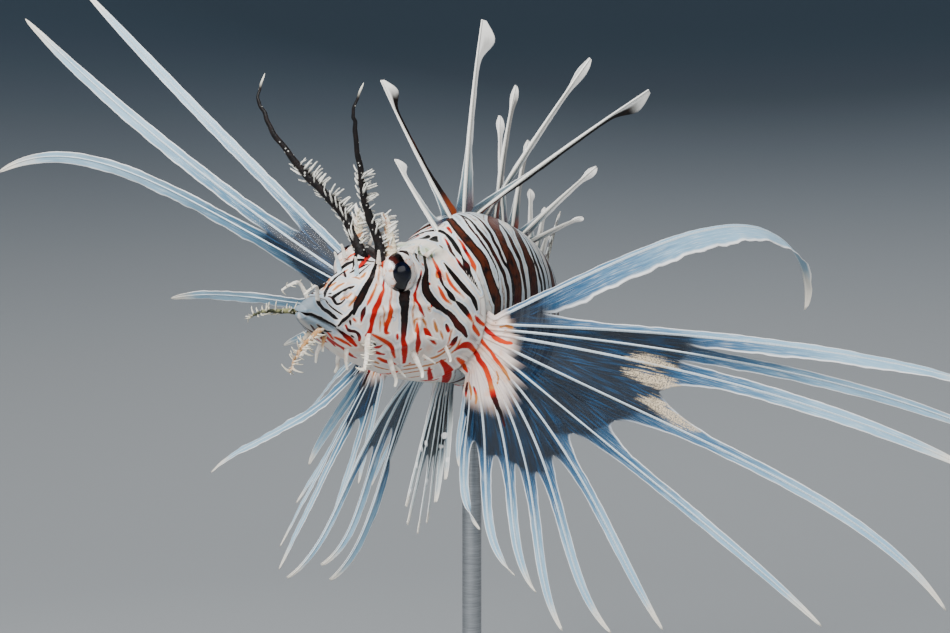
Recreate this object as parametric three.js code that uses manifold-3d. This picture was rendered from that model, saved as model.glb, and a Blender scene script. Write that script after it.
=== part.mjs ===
// A red lionfish at life size, hovering with its long fins spread, on a plain display stand.
// Millimetres, +Z up. The fish heads towards -X, its left side is -Y, and it banks a little to its left.
// The origin is the centre of the underside of the stand's base.
import * as THREE from "three";
import { mergeVertices } from "three/addons/utils/BufferGeometryUtils.js";
import Module from "manifold-3d";

const wasm = await Module();
wasm.setup();

// Driving dimensions
const standardLength = 140; // snout to the root of the tail fin
const bodyHeight = 133; // of the belly where the stand holds it, above the floor
const bankAngle = 7.7; // degrees, left side down
const noseUpAngle = 4.2; // degrees
const tailBendStart = 0.5; // share of the standard length where the tail starts to curve
const tailBendAngle = 44; // degrees, to the fish's right
const gap = 0.3; // between nodes that touch
const mouthGap = 0.45; // between the closed jaws
const armGap = 0.5; // between a tentacle's root and the head
const membraneHalf = 0.26; // half the thickness of a fin membrane
const coverDepth = 7; // how far from the middle a gill cover starts
const stalkAt = 0.8; // share of the length where the tail stalk starts
const rodAt = 0.5; // share of the length where the rod meets the belly
const baseRadius = 60;
const baseThickness = 12;
const baseEdge = 2; // bevel of the base's top edge
const collarHeight = 8;
const collarRadius = 8;
const collarEdge = 1; // bevel of the collar's top edge
const rodRadius = 2.5;
const rodSunk = 8; // how far the rod reaches past the belly's height before it is cut by the fish

// Short names used all through
const L = standardLength;
const degrees = Math.PI / 180;
const sides = [-1, 1]; // left, right
const vector = (x, y, z) => new THREE.Vector3(x, y, z);
const share = (x, y, z) => vector(x * L, y * L, z * L); // a point in shares of the length
const { lerp, clamp, smoothstep: smooth } = THREE.MathUtils;
const bell = (value, middle, width) => Math.exp(-(((value - middle) / width) ** 2));
const steps = (count, make) => Array.from({ length: count + 1 }, (_, n) => make(n / count));
const around = (count) => Array.from({ length: count }, (_, n) => (n / count) * 2 * Math.PI);

// Body outline: shares of the standard length, from the snout back
const stations = [
  // x, back, belly, half width
  [0.0, 0.004, -0.02, 0.007],
  [0.012, 0.011, -0.028, 0.017],
  [0.035, 0.02, -0.038, 0.032],
  [0.07, 0.038, -0.057, 0.045],
  [0.11, 0.063, -0.077, 0.057],
  [0.15, 0.092, -0.089, 0.067],
  [0.2, 0.112, -0.1, 0.082],
  [0.25, 0.12, -0.11, 0.093],
  [0.3, 0.134, -0.115, 0.1],
  [0.33, 0.157, -0.117, 0.102],
  [0.37, 0.184, -0.119, 0.104],
  [0.44, 0.192, -0.123, 0.1],
  [0.54, 0.178, -0.128, 0.09],
  [0.64, 0.148, -0.134, 0.077],
  [0.74, 0.11, -0.124, 0.056],
  [0.83, 0.076, -0.086, 0.035],
  [0.91, 0.055, -0.056, 0.023],
  [1.0, 0.056, -0.056, 0.014],
];

// Cubic interpolation of one column of the stations
function profile(x, column) {
  const last = stations.length - 1;
  let i = 0;
  while (i < last - 1 && x > stations[i + 1][0]) i += 1;
  const at = (n) => stations[clamp(n, 0, last)];
  const slope = (n) => {
    const before = at(n - 1);
    const after = at(n + 1);
    return (after[column] - before[column]) / (after[0] - before[0]);
  };
  const span = at(i + 1)[0] - at(i)[0];
  const t = clamp((x - at(i)[0]) / span, 0, 1);
  const [a, b] = [at(i)[column], at(i + 1)[column]];
  const [m, n] = [slope(i) * span, slope(i + 1) * span];
  const [t2, t3] = [t * t, t * t * t];
  return (2 * t3 - 3 * t2 + 1) * a + (t3 - 2 * t2 + t) * m + (3 * t2 - 2 * t3) * b + (t3 - t2) * n;
}

// The tail's sideways curve: moves a point of the straight fish onto the bent one
const bendRadius = (1.0 - tailBendStart) * L / (tailBendAngle * degrees);
function bend(point) {
  const along = point.x - tailBendStart * L;
  if (along <= 0) return point.clone();
  const turn = Math.min(along / bendRadius, tailBendAngle * degrees);
  const beyond = along - turn * bendRadius;
  const x = tailBendStart * L + bendRadius * Math.sin(turn) + beyond * Math.cos(turn);
  const y = bendRadius * (1 - Math.cos(turn)) + beyond * Math.sin(turn);
  return vector(x - point.y * Math.sin(turn), y + point.y * Math.cos(turn), point.z);
}

// Where the line of the mouth runs, as shares of the length: height at a distance from the snout
const mouthEnd = 0.125;
const mouthHeight = (x) => -0.012 - 0.4 * x;
// Rear edge of the gill cover: distance from the snout at a height
const gillEdge = (z) => 0.352 - 2.4 * (z + 0.02) ** 2 - (z < -0.02 ? 4.2 * (z + 0.02) ** 2 : 0);

// A point of the skin. Angle 0 is the back and half a turn the belly; grow pushes the skin out.
function skin(x, angle, grow = 0) {
  const top = profile(x, 1);
  const bottom = profile(x, 2);
  const half = profile(x, 3);
  const middle = lerp(top, bottom, 0.52);
  const [s, c] = [Math.sin(angle), Math.cos(angle)];
  let y = half * Math.sign(s) * Math.abs(s) ** 0.92;
  let z = middle + (c > 0 ? top - middle : middle - bottom) * Math.sign(c) * Math.abs(c) ** 0.96;
  const across = Math.abs(y) / half;
  const upper = c > 0 ? c : 0;
  // Brow ridges over the eyes, with a hollow between them and one behind
  z += 0.02 * bell(x, 0.17, 0.04) * bell(across, 0.62, 0.25) * upper;
  z -= 0.016 * bell(x, 0.17, 0.06) * bell(across, 0, 0.3) * upper;
  z -= 0.008 * bell(x, 0.235, 0.03) * upper;
  // Cheek ridge, lips and the raised edge of the gill cover
  const side = Math.sign(y) * smooth(across, 0.3, 0.9);
  y += side * 0.006 * bell(z, -0.035, 0.014) * bell(x, 0.19, 0.09);
  const lip = bell(z - mouthHeight(x), 0, 0.02) * (1 - smooth(x, 0.08, 0.15));
  y += side * 0.006 * lip;
  y += side * 0.008 * (1 - smooth(x, gillEdge(z) - 0.006, gillEdge(z) + 0.012)) * smooth(x, 0.24, 0.33);
  const out = vector(0, s, c).multiplyScalar(grow);
  return bend(vector(x * L, y * L + out.y, z * L + out.z));
}

// A closed solid through rings of equal length, with a fan at each end
function loft(rings) {
  const count = rings[0].length;
  const centre = (ring) => ring.reduce((sum, p) => sum.add(p), vector(0, 0, 0)).divideScalar(count);
  const points = [centre(rings[0]), ...rings.flat(), centre(rings[rings.length - 1])];
  const index = [];
  const at = (ring, n) => 1 + ring * count + (n % count);
  for (let n = 0; n < count; n += 1) {
    index.push(0, at(0, n), at(0, n + 1));
    index.push(points.length - 1, at(rings.length - 1, n + 1), at(rings.length - 1, n));
    for (let ring = 0; ring < rings.length - 1; ring += 1) {
      index.push(at(ring, n), at(ring + 1, n), at(ring, n + 1));
      index.push(at(ring, n + 1), at(ring + 1, n), at(ring + 1, n + 1));
    }
  }
  return new THREE.BufferGeometry().setFromPoints(points).setIndex(index);
}

// Booleans on closed meshes
function solid(geometry) {
  const bare = new THREE.BufferGeometry().setAttribute("position", geometry.getAttribute("position"));
  if (geometry.index) bare.setIndex(geometry.index);
  const merged = mergeVertices(bare, 1e-4);
  return new wasm.Manifold(new wasm.Mesh({
    numProp: 3,
    vertProperties: new Float32Array(merged.attributes.position.array),
    triVerts: new Uint32Array(merged.index.array),
  }));
}

const join = (bodies) => bodies.reduce((all, body) => all.add(body));

function middleOf(body) {
  const { min, max } = body.boundingBox();
  return vector(...min).add(vector(...max)).multiplyScalar(0.5);
}

function largest(body) {
  return body.decompose().sort((a, b) => b.volume() - a.volume())[0];
}

function geometryOf(body) {
  const mesh = body.getMesh();
  const points = [];
  for (let i = 0; i < mesh.numVert; i += 1) {
    points.push(vector(...mesh.vertProperties.subarray(i * mesh.numProp, i * mesh.numProp + 3)));
  }
  return new THREE.BufferGeometry().setFromPoints(points).setIndex(Array.from(mesh.triVerts));
}

// Body, parted by thin cuts
const roundBody = 24; // points round the body
const bodyRings = [0, 0.004, 0.012, 0.022, 0.035, 0.05, 0.065, 0.08, 0.095, 0.11, 0.125, 0.14, 0.155, 0.17,
  0.185, 0.2, 0.22, 0.24, 0.26, 0.28, 0.3, 0.315, 0.33, 0.345, 0.36, 0.38, 0.41, 0.44, 0.48, 0.52, 0.56,
  0.6, 0.64, 0.68, 0.72, 0.76, 0.8, 0.84, 0.88, 0.92, 0.96, 1.0];

function bodySolid(grow, places = bodyRings) {
  const angles = around(roundBody);
  return solid(loft(places.map((x) => angles.map((angle) => skin(x, angle, grow)))));
}

// A prism across the fish from an outline in shares of the length, between two distances sideways
function prism(outline, from, to) {
  const shape = new THREE.Shape(outline.map(([x, z]) => new THREE.Vector2(x * L, z * L)));
  const made = new THREE.ExtrudeGeometry(shape, { depth: to - from, bevelEnabled: false });
  return solid(made.rotateX(Math.PI / 2).translate(0, to, 0));
}

// A cut as wide as the gap along a line on the fish's side
function slit(line, from, to, width = gap) {
  const offset = line.map(([x, z], n) => {
    const before = line[Math.max(n - 1, 0)];
    const after = line[Math.min(n + 1, line.length - 1)];
    const run = new THREE.Vector2(after[0] - before[0], after[1] - before[1]).normalize();
    return [x + run.y * width / L, z - run.x * width / L];
  });
  return prism([...line, ...offset.reverse()], from, to);
}

const whole = bodySolid(0);
const clearance = bodySolid(gap, [-gap / L, ...bodyRings, 1 + gap / L]);
const armClearance = bodySolid(armGap, [-armGap / L, ...bodyRings]);
const acrossAll = [-0.3 * L, 0.3 * L];
const gillLine = steps(14, (t) => lerp(-0.25, 0.25, t)).map((z) => [gillEdge(z), z]);
const gillCut = slit(gillLine, ...acrossAll);
const jawLine = [[-0.05, mouthHeight(-0.05)], [0.05, mouthHeight(0.05)], [mouthEnd, mouthHeight(mouthEnd)],
  [0.15, -0.1], [0.19, -0.2]];
const jawCut = slit(jawLine, ...acrossAll, mouthGap);
const coverLine = [[0.4, 0.06], [0.3, 0.055], [0.25, 0.03], [0.232, -0.02], [0.235, -0.07], [0.26, -0.105],
  [0.3, -0.13]];
const wellOutside = 6; // how far a cutting disc reaches past the skin
const stalkCut = bodySolid(wellOutside, [stalkAt, stalkAt + gap / L]);

function coverCuts(side) {
  const edges = [side * coverDepth, side * 0.3 * L].sort((a, b) => a - b);
  const plate = [side * coverDepth, side * (coverDepth + gap)].sort((a, b) => a - b);
  const inside = prism([...coverLine, [0.4, -0.13]], ...plate);
  return slit(coverLine, ...edges).add(inside);
}

const cuts = [gillCut, jawCut, stalkCut, coverCuts(-1), coverCuts(1)];
const pieces = cuts.reduce((rest, cut) => rest.subtract(cut), whole).decompose();
const [torso, headPiece, ...smaller] = pieces.sort((a, b) => b.volume() - a.volume());
const foremost = [...smaller].sort((a, b) => middleOf(a).x - middleOf(b).x);
const lowerJaw = foremost[0];
const tailStalk = foremost[foremost.length - 1];
const covers = foremost.slice(1, 3).sort((a, b) => middleOf(a).y - middleOf(b).y);

// Directions: sweep is towards the tail from straight out sideways, lift is above the level
function sideways(side, sweep, lift) {
  const [a, b] = [sweep * degrees, lift * degrees];
  return vector(Math.sin(a) * Math.cos(b), side * Math.cos(a) * Math.cos(b), Math.sin(b));
}

// Lean is towards the tail from upright, or from straight down, and tilt is to the fish's right
function upright(up, lean, tilt) {
  const [a, b] = [lean * degrees, tilt * degrees];
  return vector(Math.sin(a), Math.sin(b) * Math.cos(a), up * Math.cos(b) * Math.cos(a));
}

// Points along a ray at shares of its length, and behind its base along its root
function rayPoints({ base, length, heading, root = heading(0).multiplyScalar(length) }, shares) {
  const count = 40;
  const path = [base.clone()];
  for (let n = 0; n < count; n += 1) {
    path.push(path[n].clone().addScaledVector(heading((n + 0.5) / count), length / count));
  }
  return shares.map((s) => {
    if (s < 0) return base.clone().addScaledVector(root, s);
    const n = Math.min(Math.floor(s * count), count - 1);
    return path[n].clone().lerp(path[n + 1], s * count - n);
  });
}

// The direction of a line of points at one of them, from its neighbours
function runOf(line, n) {
  return line[Math.min(n + 1, line.length - 1)].clone().sub(line[Math.max(n - 1, 0)]);
}

// A point beside the gap that parts the web between two rays, and the way the web faces there
function besideGap(upper, lower, row, shift) {
  const tangent = runOf(upper, row).normalize();
  const aside = lower[row].clone().sub(upper[row]);
  aside.addScaledVector(tangent, -aside.dot(tangent)).normalize();
  const at = upper[row].clone().add(lower[row]).multiplyScalar(0.5).addScaledVector(aside, shift);
  return { at, facing: tangent.cross(aside) };
}

// A fin as one closed body: rays are ridges raised in a thin web, which ends in a notch between each two
// rays and goes on along each ray as a border of its own. Both faces are split into triangles alike.
// Borders lie towards the neighbouring rays unless the direction across is given. The web before the ray
// numbered parting is split by a gap, which makes two bodies.
function finSheet(rays, { shares, webs, crest, border, foot = 0, flesh = () => 0, across = null, parting }) {
  const lines = rays.map((ray) => rayPoints(ray, shares));
  const lastRow = shares.length - 1;
  const points = [];
  const cells = [];
  const add = (at, normal, half) => points.push({ at, normal, half }) - 1;
  const columns = lines.map(() => []);
  lines.forEach((line, i) => {
    const next = lines[Math.min(i + 1, lines.length - 1)];
    const previous = lines[Math.max(i - 1, 0)];
    line.forEach((point, row) => {
      const s = Math.max(shares[row], 0);
      const tangent = runOf(line, row).normalize();
      const aside = across ? across.clone() : next[row].clone().sub(previous[row]);
      aside.addScaledVector(tangent, -aside.dot(tangent)).normalize();
      const normal = tangent.clone().cross(aside);
      const room = Math.min(
        i > 0 ? point.distanceTo(previous[row]) : Infinity,
        i < lines.length - 1 ? point.distanceTo(next[row]) : Infinity,
      );
      const footAt = Math.min(foot, 0.3 * room) * lerp(1, 0.6, s);
      const [before, after] = border(s, i).map((width) => footAt + Math.min(width, 0.4 * room));
      const web = membraneHalf + flesh(s);
      const column = { crest: add(point, normal, crest(s, i) + flesh(s)) };
      if (foot > 0) {
        column.footBefore = add(point.clone().addScaledVector(aside, -footAt), normal, web);
        column.footAfter = add(point.clone().addScaledVector(aside, footAt), normal, web);
      }
      const webBefore = i > 0 && row <= webs[i - 1];
      const webAfter = i < lines.length - 1 && row <= webs[i];
      const edge = (distance) => add(point.clone().addScaledVector(aside, distance), normal, web);
      const split = (upper, lower, shift) => {
        const { at, facing } = besideGap(upper, lower, row, shift);
        return add(at, facing, web);
      };
      if (!webBefore) column.before = edge(-before);
      else column.before = i === parting ? split(previous, line, gap / 2) : columns[i - 1][row].after;
      if (!webAfter) column.after = edge(after);
      else if (i + 1 === parting) column.after = split(line, next, -gap / 2);
      else column.after = add(point.clone().add(next[row]).multiplyScalar(0.5), normal, web);
      columns[i].push(column);
    });
  });
  for (const column of columns) {
    for (let row = 0; row < lastRow; row += 1) {
      const [a, b] = [column[row], column[row + 1]];
      const names = ["before", "footBefore", "crest", "footAfter", "after"].filter((name) => name in a);
      for (let n = 0; n < names.length - 1; n += 1) {
        const [p, q, r, t] = [a[names[n]], a[names[n + 1]], b[names[n]], b[names[n + 1]]];
        cells.push([p, q, t], [p, t, r]);
      }
    }
  }
  return twoFaced(points, cells);
}

// A closed body with the same triangles on both faces, and walls along the open edges
function twoFaced(points, cells) {
  const count = points.length;
  const raised = (face) => points.map((p) => p.at.clone().addScaledVector(p.normal, face * p.half));
  const faces = [...raised(1), ...raised(-1)];
  const index = cells.flatMap(([a, b, c]) => [a, b, c, count + a, count + c, count + b]);
  const edges = new Map();
  for (const [a, b, c] of cells) {
    for (const [p, q] of [[a, b], [b, c], [c, a]]) {
      if (!edges.delete(`${q} ${p}`)) edges.set(`${p} ${q}`, [p, q]);
    }
  }
  for (const [p, q] of edges.values()) index.push(q, p, count + p, q, count + p, count + q);
  const made = (corners) => solid(new THREE.BufferGeometry().setFromPoints(faces).setIndex(corners));
  const first = made(index);
  return first.volume() > 0 ? first : made([...index].reverse());
}

// Pectoral fins, one value for each ray from the top one down
const pectoralBaseTop = vector(0.365, 0.118, 0.012);
const pectoralBaseBottom = vector(0.352, 0.092, -0.086);
const leftPectoral = {
  side: -1,
  upperRays: 6, // the upper part's share of the rays
  lengths: [115, 125, 128, 124, 129, 106, 83, 77, 71, 59, 53, 40, 23],
  sweeps: [49, 34, 36, 36, 29, 31, 36, 35, 32, 29, 20, 11, 7],
  lifts: [34, 7, 4, 0, -17, -31, -37, -41, -46, -53, -67, -84, -88],
  curls: [-13, -8, -12, -12, 4, 2, -32, -54, -58, -52, -34, -10, -10],
  trails: [31, 0, 0, 0, 4, 0, 0, 0, 0, 0, 0, 0, 0],
  hooks: [-111, -9, -8, -6, -34, -6, 21, 58, 54, 62, 73, 60, 30],
  widths: [5.2, 3.4, 2.6, 3, 2.2, 2, 1.9, 1.9, 1.9, 1.9, 1.8, 1.7, 1.2],
  webs: [2, 4, 5, 4, 4, 4, 4, 4, 4, 4, 4, 4],
};
const rightPectoral = {
  side: 1,
  upperRays: 5,
  lengths: [126, 132, 130, 77, 74, 70, 77, 51, 61, 72, 74, 50, 34],
  sweeps: [-15, -18, -20, -1, 28, 32, 4, 21, 20, 17, 14, 12, 10],
  lifts: [32, 22, 18, -4, -8, -26, -62, -59, -63, -60, -64, -76, -84],
  curls: [4, 10, 3, 4, -10, -10, 59, 23, 13, 0, 0, 0, 0],
  trails: [0, 0, 11, 0, 0, 0, 0, 0, 0, 0, 0, 0, 0],
  hooks: [0, 2, -55, -18, 0, 0, -43, -28, 0, 0, 0, 0, 0],
  widths: [2.8, 3.8, 4, 3.6, 2.4, 2.4, 3.2, 2, 1.8, 1.8, 1.8, 1.6, 1.4],
  webs: [3, 4, 3, 3, 3, 3, 3, 4, 4, 4, 4, 4],
};
const pectoralRootTurn = [30, -28]; // sweep and lift of the root that all rays share
const pectoralRootReach = 50; // the root is this long for a share of 1
const pectoralShares = [-0.05, 0.05, 0.14, 0.24, 0.35, 0.48, 0.64, 0.8, 0.93, 1];

function pectoralFin({ side, lengths, sweeps, lifts, curls, trails, hooks, widths, webs, upperRays }) {
  const place = (p) => vector(p.x * L, side * p.y * L, p.z * L);
  const rays = lengths.map((length, i) => ({
    base: place(pectoralBaseTop).lerp(place(pectoralBaseBottom), i / (lengths.length - 1)),
    length,
    heading: (s) => sideways(side, sweeps[i] + trails[i] * s, lifts[i] + curls[i] * s + hooks[i] * s ** 4),
    root: sideways(side, ...pectoralRootTurn).multiplyScalar(pectoralRootReach),
  }));
  const sheet = finSheet(rays, {
    shares: pectoralShares,
    webs,
    crest: (s) => lerp(0.75, 0.34, s),
    border: (s, i) => [0.5 * (1 - s) + 0.15, widths[i] * (1 - s ** 3) ** 0.6 + 0.15],
    foot: 0.6,
    flesh: (s) => 0.9 * (1 - smooth(s, 0, 0.14)),
    parting: upperRays,
  });
  const parted = sheet.subtract(clearance);
  const two = parted.decompose().sort((a, b) => b.volume() - a.volume()).slice(0, 2);
  return two.sort((a, b) => middleOf(b).z - middleOf(a).z);
}

// Spines of the back
const spineLengths = [24, 40, 51, 54, 50, 46, 43, 39, 36, 32, 25, 20, 15];
const spineLeans = [-2, -14, 3, 20, 17, 24, 27, 37, 44, 66, 36, 38, 48];
const spineTilts = [47, 36, 9, -40, -16, 21, 34, 27, -18, -20, 26, 12, 9];
// Width of the skin at each tip
const spineFlags = [1.8, 2.6, 3.4, 3, 2.2, 1.9, 1.9, 1.8, 1.7, 1.5, 1.1, 1, 0.9];
const spinyFinStart = 0.325;
const spinyFinEnd = 0.72;

function spinyFin() {
  const rays = spineLengths.map((length, i) => {
    const x = lerp(spinyFinStart, spinyFinEnd, i / (spineLengths.length - 1));
    return medianRay(x, 1, length, spineLeans[i], spineTilts[i], 8);
  });
  return finSheet(rays, {
    shares: [-0.08, 0.02, 0.12, 0.4, 0.8, 0.91, 0.97, 1],
    webs: spineLengths.map(() => 2).slice(1),
    crest: (s) => lerp(0.8, 0.3, s),
    border: (s, i) => [0.65 * (1 - s) + 0.25, 1.1 + spineFlags[i] * bell(s, 0.91, 0.08)],
    across: vector(0.87, -0.5, 0),
  });
}

// A ray of a fin in the middle line, standing on the back (up 1) or hanging from the belly (up -1)
function medianRay(x, up, length, lean, tilt, bow) {
  const turn = turnAt(x);
  return {
    base: skin(x, up > 0 ? 0 : Math.PI, -0.6),
    length,
    heading: (s) => upright(up, lean + bow * s, tilt).applyAxisAngle(vector(0, 0, 1), turn),
  };
}

function turnAt(x) {
  return clamp((x - tailBendStart) * L / bendRadius, 0, tailBendAngle * degrees);
}

function softFin({ from, to, up, lengths, leans, web }) {
  const rays = lengths.map((length, i) => {
    const t = i / (lengths.length - 1);
    return medianRay(lerp(from, to, t), up, length, lerp(...leans, t), 0, 8);
  });
  return finSheet(rays, {
    shares: [-0.1, 0.05, 0.3, 0.55, 0.8, 0.92, 1],
    webs: lengths.map(() => web).slice(1),
    crest: (s) => lerp(0.5, 0.3, s),
    border: (s) => [0.45, 0.4 * (1 - s) + 0.45],
  });
}

const softDorsal = {
  from: 0.765, to: 0.915, up: 1, lengths: [24, 28, 30, 31, 31, 30, 28, 26, 23, 19], leans: [38, 66], web: 4,
};
const analFin = {
  from: 0.69, to: 0.885, up: -1, lengths: [14, 20, 26, 31, 33, 33, 32, 29, 24], leans: [42, 66], web: 4,
};

function tailFin() {
  const lengths = [34, 40, 43, 44, 44, 43, 43, 44, 44, 43, 40, 34];
  const turn = turnAt(1);
  const rays = lengths.map((length, i) => {
    const t = lerp(1, -1, i / (lengths.length - 1));
    return {
      base: bend(share(1, 0, t * 0.048)),
      length,
      heading: (s) => vector(1, 0, 0).applyAxisAngle(vector(0, 1, 0), -(30 - 8 * s) * t * degrees)
        .applyAxisAngle(vector(0, 0, 1), turn),
    };
  });
  return finSheet(rays, {
    shares: [-0.06, 0.04, 0.25, 0.5, 0.75, 0.9, 1],
    webs: lengths.map(() => 5).slice(1),
    crest: (s) => lerp(0.5, 0.3, s),
    border: (s) => [0.45, 0.4 * (1 - s) + 0.45],
  });
}

function pelvicFin({ side, lengths, sweeps, lifts, curls, hooks }) {
  const rays = lengths.map((length, i) => ({
    base: share(lerp(0.345, 0.385, i / (lengths.length - 1)), side * 0.03, -0.119),
    length,
    heading: (s) => sideways(side, sweeps[i], lifts[i] + curls[i] * s + hooks[i] * s ** 4),
  }));
  return finSheet(rays, {
    shares: [-0.08, 0.03, 0.2, 0.4, 0.6, 0.8, 0.92, 1],
    webs: lengths.map(() => 4).slice(1),
    crest: (s) => lerp(0.55, 0.32, s),
    border: (s) => [0.5, 1.1 * (1 - s) + 0.5],
  });
}

const leftPelvic = {
  side: -1,
  lengths: [37, 41, 40, 35, 30, 25],
  sweeps: [-60, -59, -55, -50, -46, -42],
  lifts: [-46, -48, -57, -70, -68, -62],
  curls: [0, 0, 0, 0, 0, 0],
  hooks: [0, 0, 0, 0, 0, 0],
};
const rightPelvic = {
  side: 1,
  lengths: [59, 53, 56, 50, 40, 31],
  sweeps: [-41, -38, -36, -34, -26, -14],
  lifts: [-60, -65, -78, -79, -78, -72],
  curls: [-35, -41, -12, 0, 0, 0],
  hooks: [51, 63, 40, 0, 0, 0],
};

// A tapered, flattened arm along a curve through hand-set points
const armTaper = 0.85;
const armFlatness = 0.6;
function arm(curve, radius) {
  const rings = 9;
  const { normals, binormals } = curve.computeFrenetFrames(rings, false);
  const made = steps(rings, (t) => curve.getPointAt(t)).map((centre, n) => {
    const size = radius * (1 - armTaper * n / rings);
    return around(5).map((angle) => centre.clone()
      .addScaledVector(normals[n], size * Math.cos(angle))
      .addScaledVector(binormals[n], size * armFlatness * Math.sin(angle)));
  });
  const body = solid(loft(made));
  return body.volume() > 0 ? body : solid(loft(made.reverse()));
}

// A spike standing on a surface, its root sunk in
function spike(root, tip, radius, corners = 4) {
  const run = tip.clone().sub(root);
  const length = run.length() + 2 * radius;
  const cone = new THREE.ConeGeometry(radius, length, corners).translate(0, length / 2 - 2 * radius, 0);
  cone.applyQuaternion(new THREE.Quaternion().setFromUnitVectors(vector(0, 1, 0), run.normalize()));
  return solid(cone.translate(root.x, root.y, root.z));
}

// Eyes: lens-shaped, looking sideways and a little forwards and up
const eyeAt = share(0.163, 0.054, 0.073); // the right one
const eyeRadius = 0.033 * L;
const eyeDepth = 0.024 * L;
const eyeTurns = { up: 12, forward: 9 }; // degrees

// Turns and moves a shape made at the origin, flat towards the side, onto the place of one eye
function ontoEye(geometry, side) {
  geometry.rotateX(side * eyeTurns.up * degrees).rotateZ(side * eyeTurns.forward * degrees);
  return solid(geometry.translate(eyeAt.x, side * eyeAt.y, eyeAt.z));
}

function eyeShape(side, radius, depth) {
  const ball = new THREE.SphereGeometry(1, 16, 10).rotateX(Math.PI / 2).scale(radius, depth, radius);
  return ontoEye(ball, side);
}

function eyeRim(side) {
  const ring = new THREE.TorusGeometry(eyeRadius + 0.1, 0.9, 6, 18).rotateX(Math.PI / 2).scale(1, 0.9, 1);
  return ontoEye(ring.translate(0, side * 0.016 * L, 0), side);
}

const nostrilAt = share(0.068, 0.031, 0.025);
function nostril(side) {
  const pit = new THREE.SphereGeometry(0.9, 8, 6);
  return solid(pit.translate(nostrilAt.x, side * nostrilAt.y, nostrilAt.z));
}

// Arms of skin over the eyes and on the snout
const browArms = {
  left: [[0.143, -0.029, 0.082], [0.137, -0.02, 0.12], [0.115, -0.008, 0.161], [0.085, -0.007, 0.22],
    [0.055, -0.006, 0.29], [0.045, -0.006, 0.32], [0.047, -0.018, 0.362]],
  right: [[0.158, 0.024, 0.09], [0.14, 0.056, 0.147], [0.115, 0.086, 0.18], [0.085, 0.126, 0.219],
    [0.055, 0.163, 0.266], [0.045, 0.186, 0.3], [0.04, 0.2, 0.327], [0.045, 0.196, 0.365]],
};
const snoutArms = {
  left: [[0.03, -0.02, -0.03], [0.0, -0.022, -0.052], [-0.025, -0.024, -0.075], [-0.035, -0.026, -0.105]],
  right: [[0.025, 0.012, -0.015], [-0.01, 0.03, -0.012], [-0.04, 0.05, -0.02], [-0.055, 0.065, -0.03]],
};

// An arm with a fringe of small fingers along two of its edges, between two shares of its length
function fringedArm(path, { radius, fingers, from, to, reach }) {
  const curve = new THREE.CatmullRomCurve3(path.map((p) => share(...p)));
  const fringe = steps(fingers - 1, (t) => lerp(from, to, t)).map((place, n) => {
    const root = curve.getPointAt(place);
    const along = curve.getTangentAt(place);
    const aside = vector(0, 0, 1).cross(along).normalize().multiplyScalar(n % 2 ? 1 : -1);
    const back = vector(0.8, 0, 0).addScaledVector(along, -0.8 * along.x);
    const lean = aside.add(back).normalize().multiplyScalar(0.85).addScaledVector(along, 0.5);
    const size = reach * lerp(1, 0.55, n / (fingers - 1));
    return spike(root, root.clone().addScaledVector(lean, size), 0.42, 3);
  });
  return join([arm(curve, radius), ...fringe]);
}

// Small hanging flaps of skin, each [root, tip], right side; the left side mirrors them
const cheekFlaps = [
  [[0.175, 0.05, -0.074], [0.178, 0.066, -0.112]],
  [[0.206, 0.072, -0.055], [0.212, 0.092, -0.09]],
  [[0.094, 0.052, -0.036], [0.1, 0.068, -0.086]],
];
const jawFlaps = [
  [[0.09, 0.027, -0.06], [0.088, 0.034, -0.095]],
  [[0.045, 0.016, -0.041], [0.036, 0.024, -0.068]],
];
// Spines of the skull, each [root, tip]: over the eye, before it, on the cheek and on the nape
const skullSpines = [
  [[0.128, 0.036, 0.082], [0.118, 0.04, 0.104]],
  [[0.196, 0.046, 0.106], [0.212, 0.05, 0.126]],
  [[0.235, 0.047, 0.104], [0.256, 0.051, 0.12]],
  [[0.03, 0.019, 0.012], [0.022, 0.025, 0.028]],
  [[0.215, 0.084, -0.028], [0.238, 0.098, -0.03]],
  [[0.22, 0.084, -0.06], [0.24, 0.098, -0.07]],
];

function studded(body, pairs, radius) {
  const studs = sides.flatMap((side) => pairs.map(([root, tip]) => spike(
    share(root[0], side * root[1], root[2]),
    share(tip[0], side * tip[1], tip[2]),
    radius,
  )));
  return join([body, ...studs]);
}

function finishedHead() {
  const spined = studded(join([headPiece, ...sides.map(eyeRim)]), skullSpines, 0.9);
  const rimmed = studded(spined, cheekFlaps, 0.6);
  const pits = sides.flatMap((side) => [eyeShape(side, eyeRadius + gap, eyeDepth + gap), nostril(side)]);
  return pits.reduce((rest, pit) => rest.subtract(pit), rimmed);
}

// A body of revolution about the upright axis
function turned(profile) {
  const made = new THREE.LatheGeometry(profile.map(([r, z]) => new THREE.Vector2(r, z)), 32);
  return solid(made.rotateX(Math.PI / 2));
}

const group = new THREE.Group();
const fish = new THREE.Group();
fish.rotation.set(bankAngle * degrees, noseUpAngle * degrees, 0);
const belly = skin(rodAt, Math.PI).applyEuler(fish.rotation);
fish.position.set(-belly.x, -belly.y, bodyHeight - belly.z);
fish.updateMatrix();
group.add(fish);

function finish(color, roughness, metalness) {
  return new THREE.MeshStandardMaterial({ color, roughness, metalness });
}

function node(name, body, material, parent = fish) {
  const mesh = new THREE.Mesh(geometryOf(body), material);
  mesh.name = name;
  parent.add(mesh);
}

const fleshFinish = finish(0xe6d3c4, 0.45, 0);
const eyeFinish = finish(0x101014, 0.1, 0);
const finFinish = finish(0xc9d2d6, 0.5, 0);
const armFinish = finish(0x2a1d1a, 0.6, 0);
const standFinish = finish(0x1c1c1e, 0.6, 0);
const steelFinish = finish(0xb8bcc0, 0.3, 1);

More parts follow.
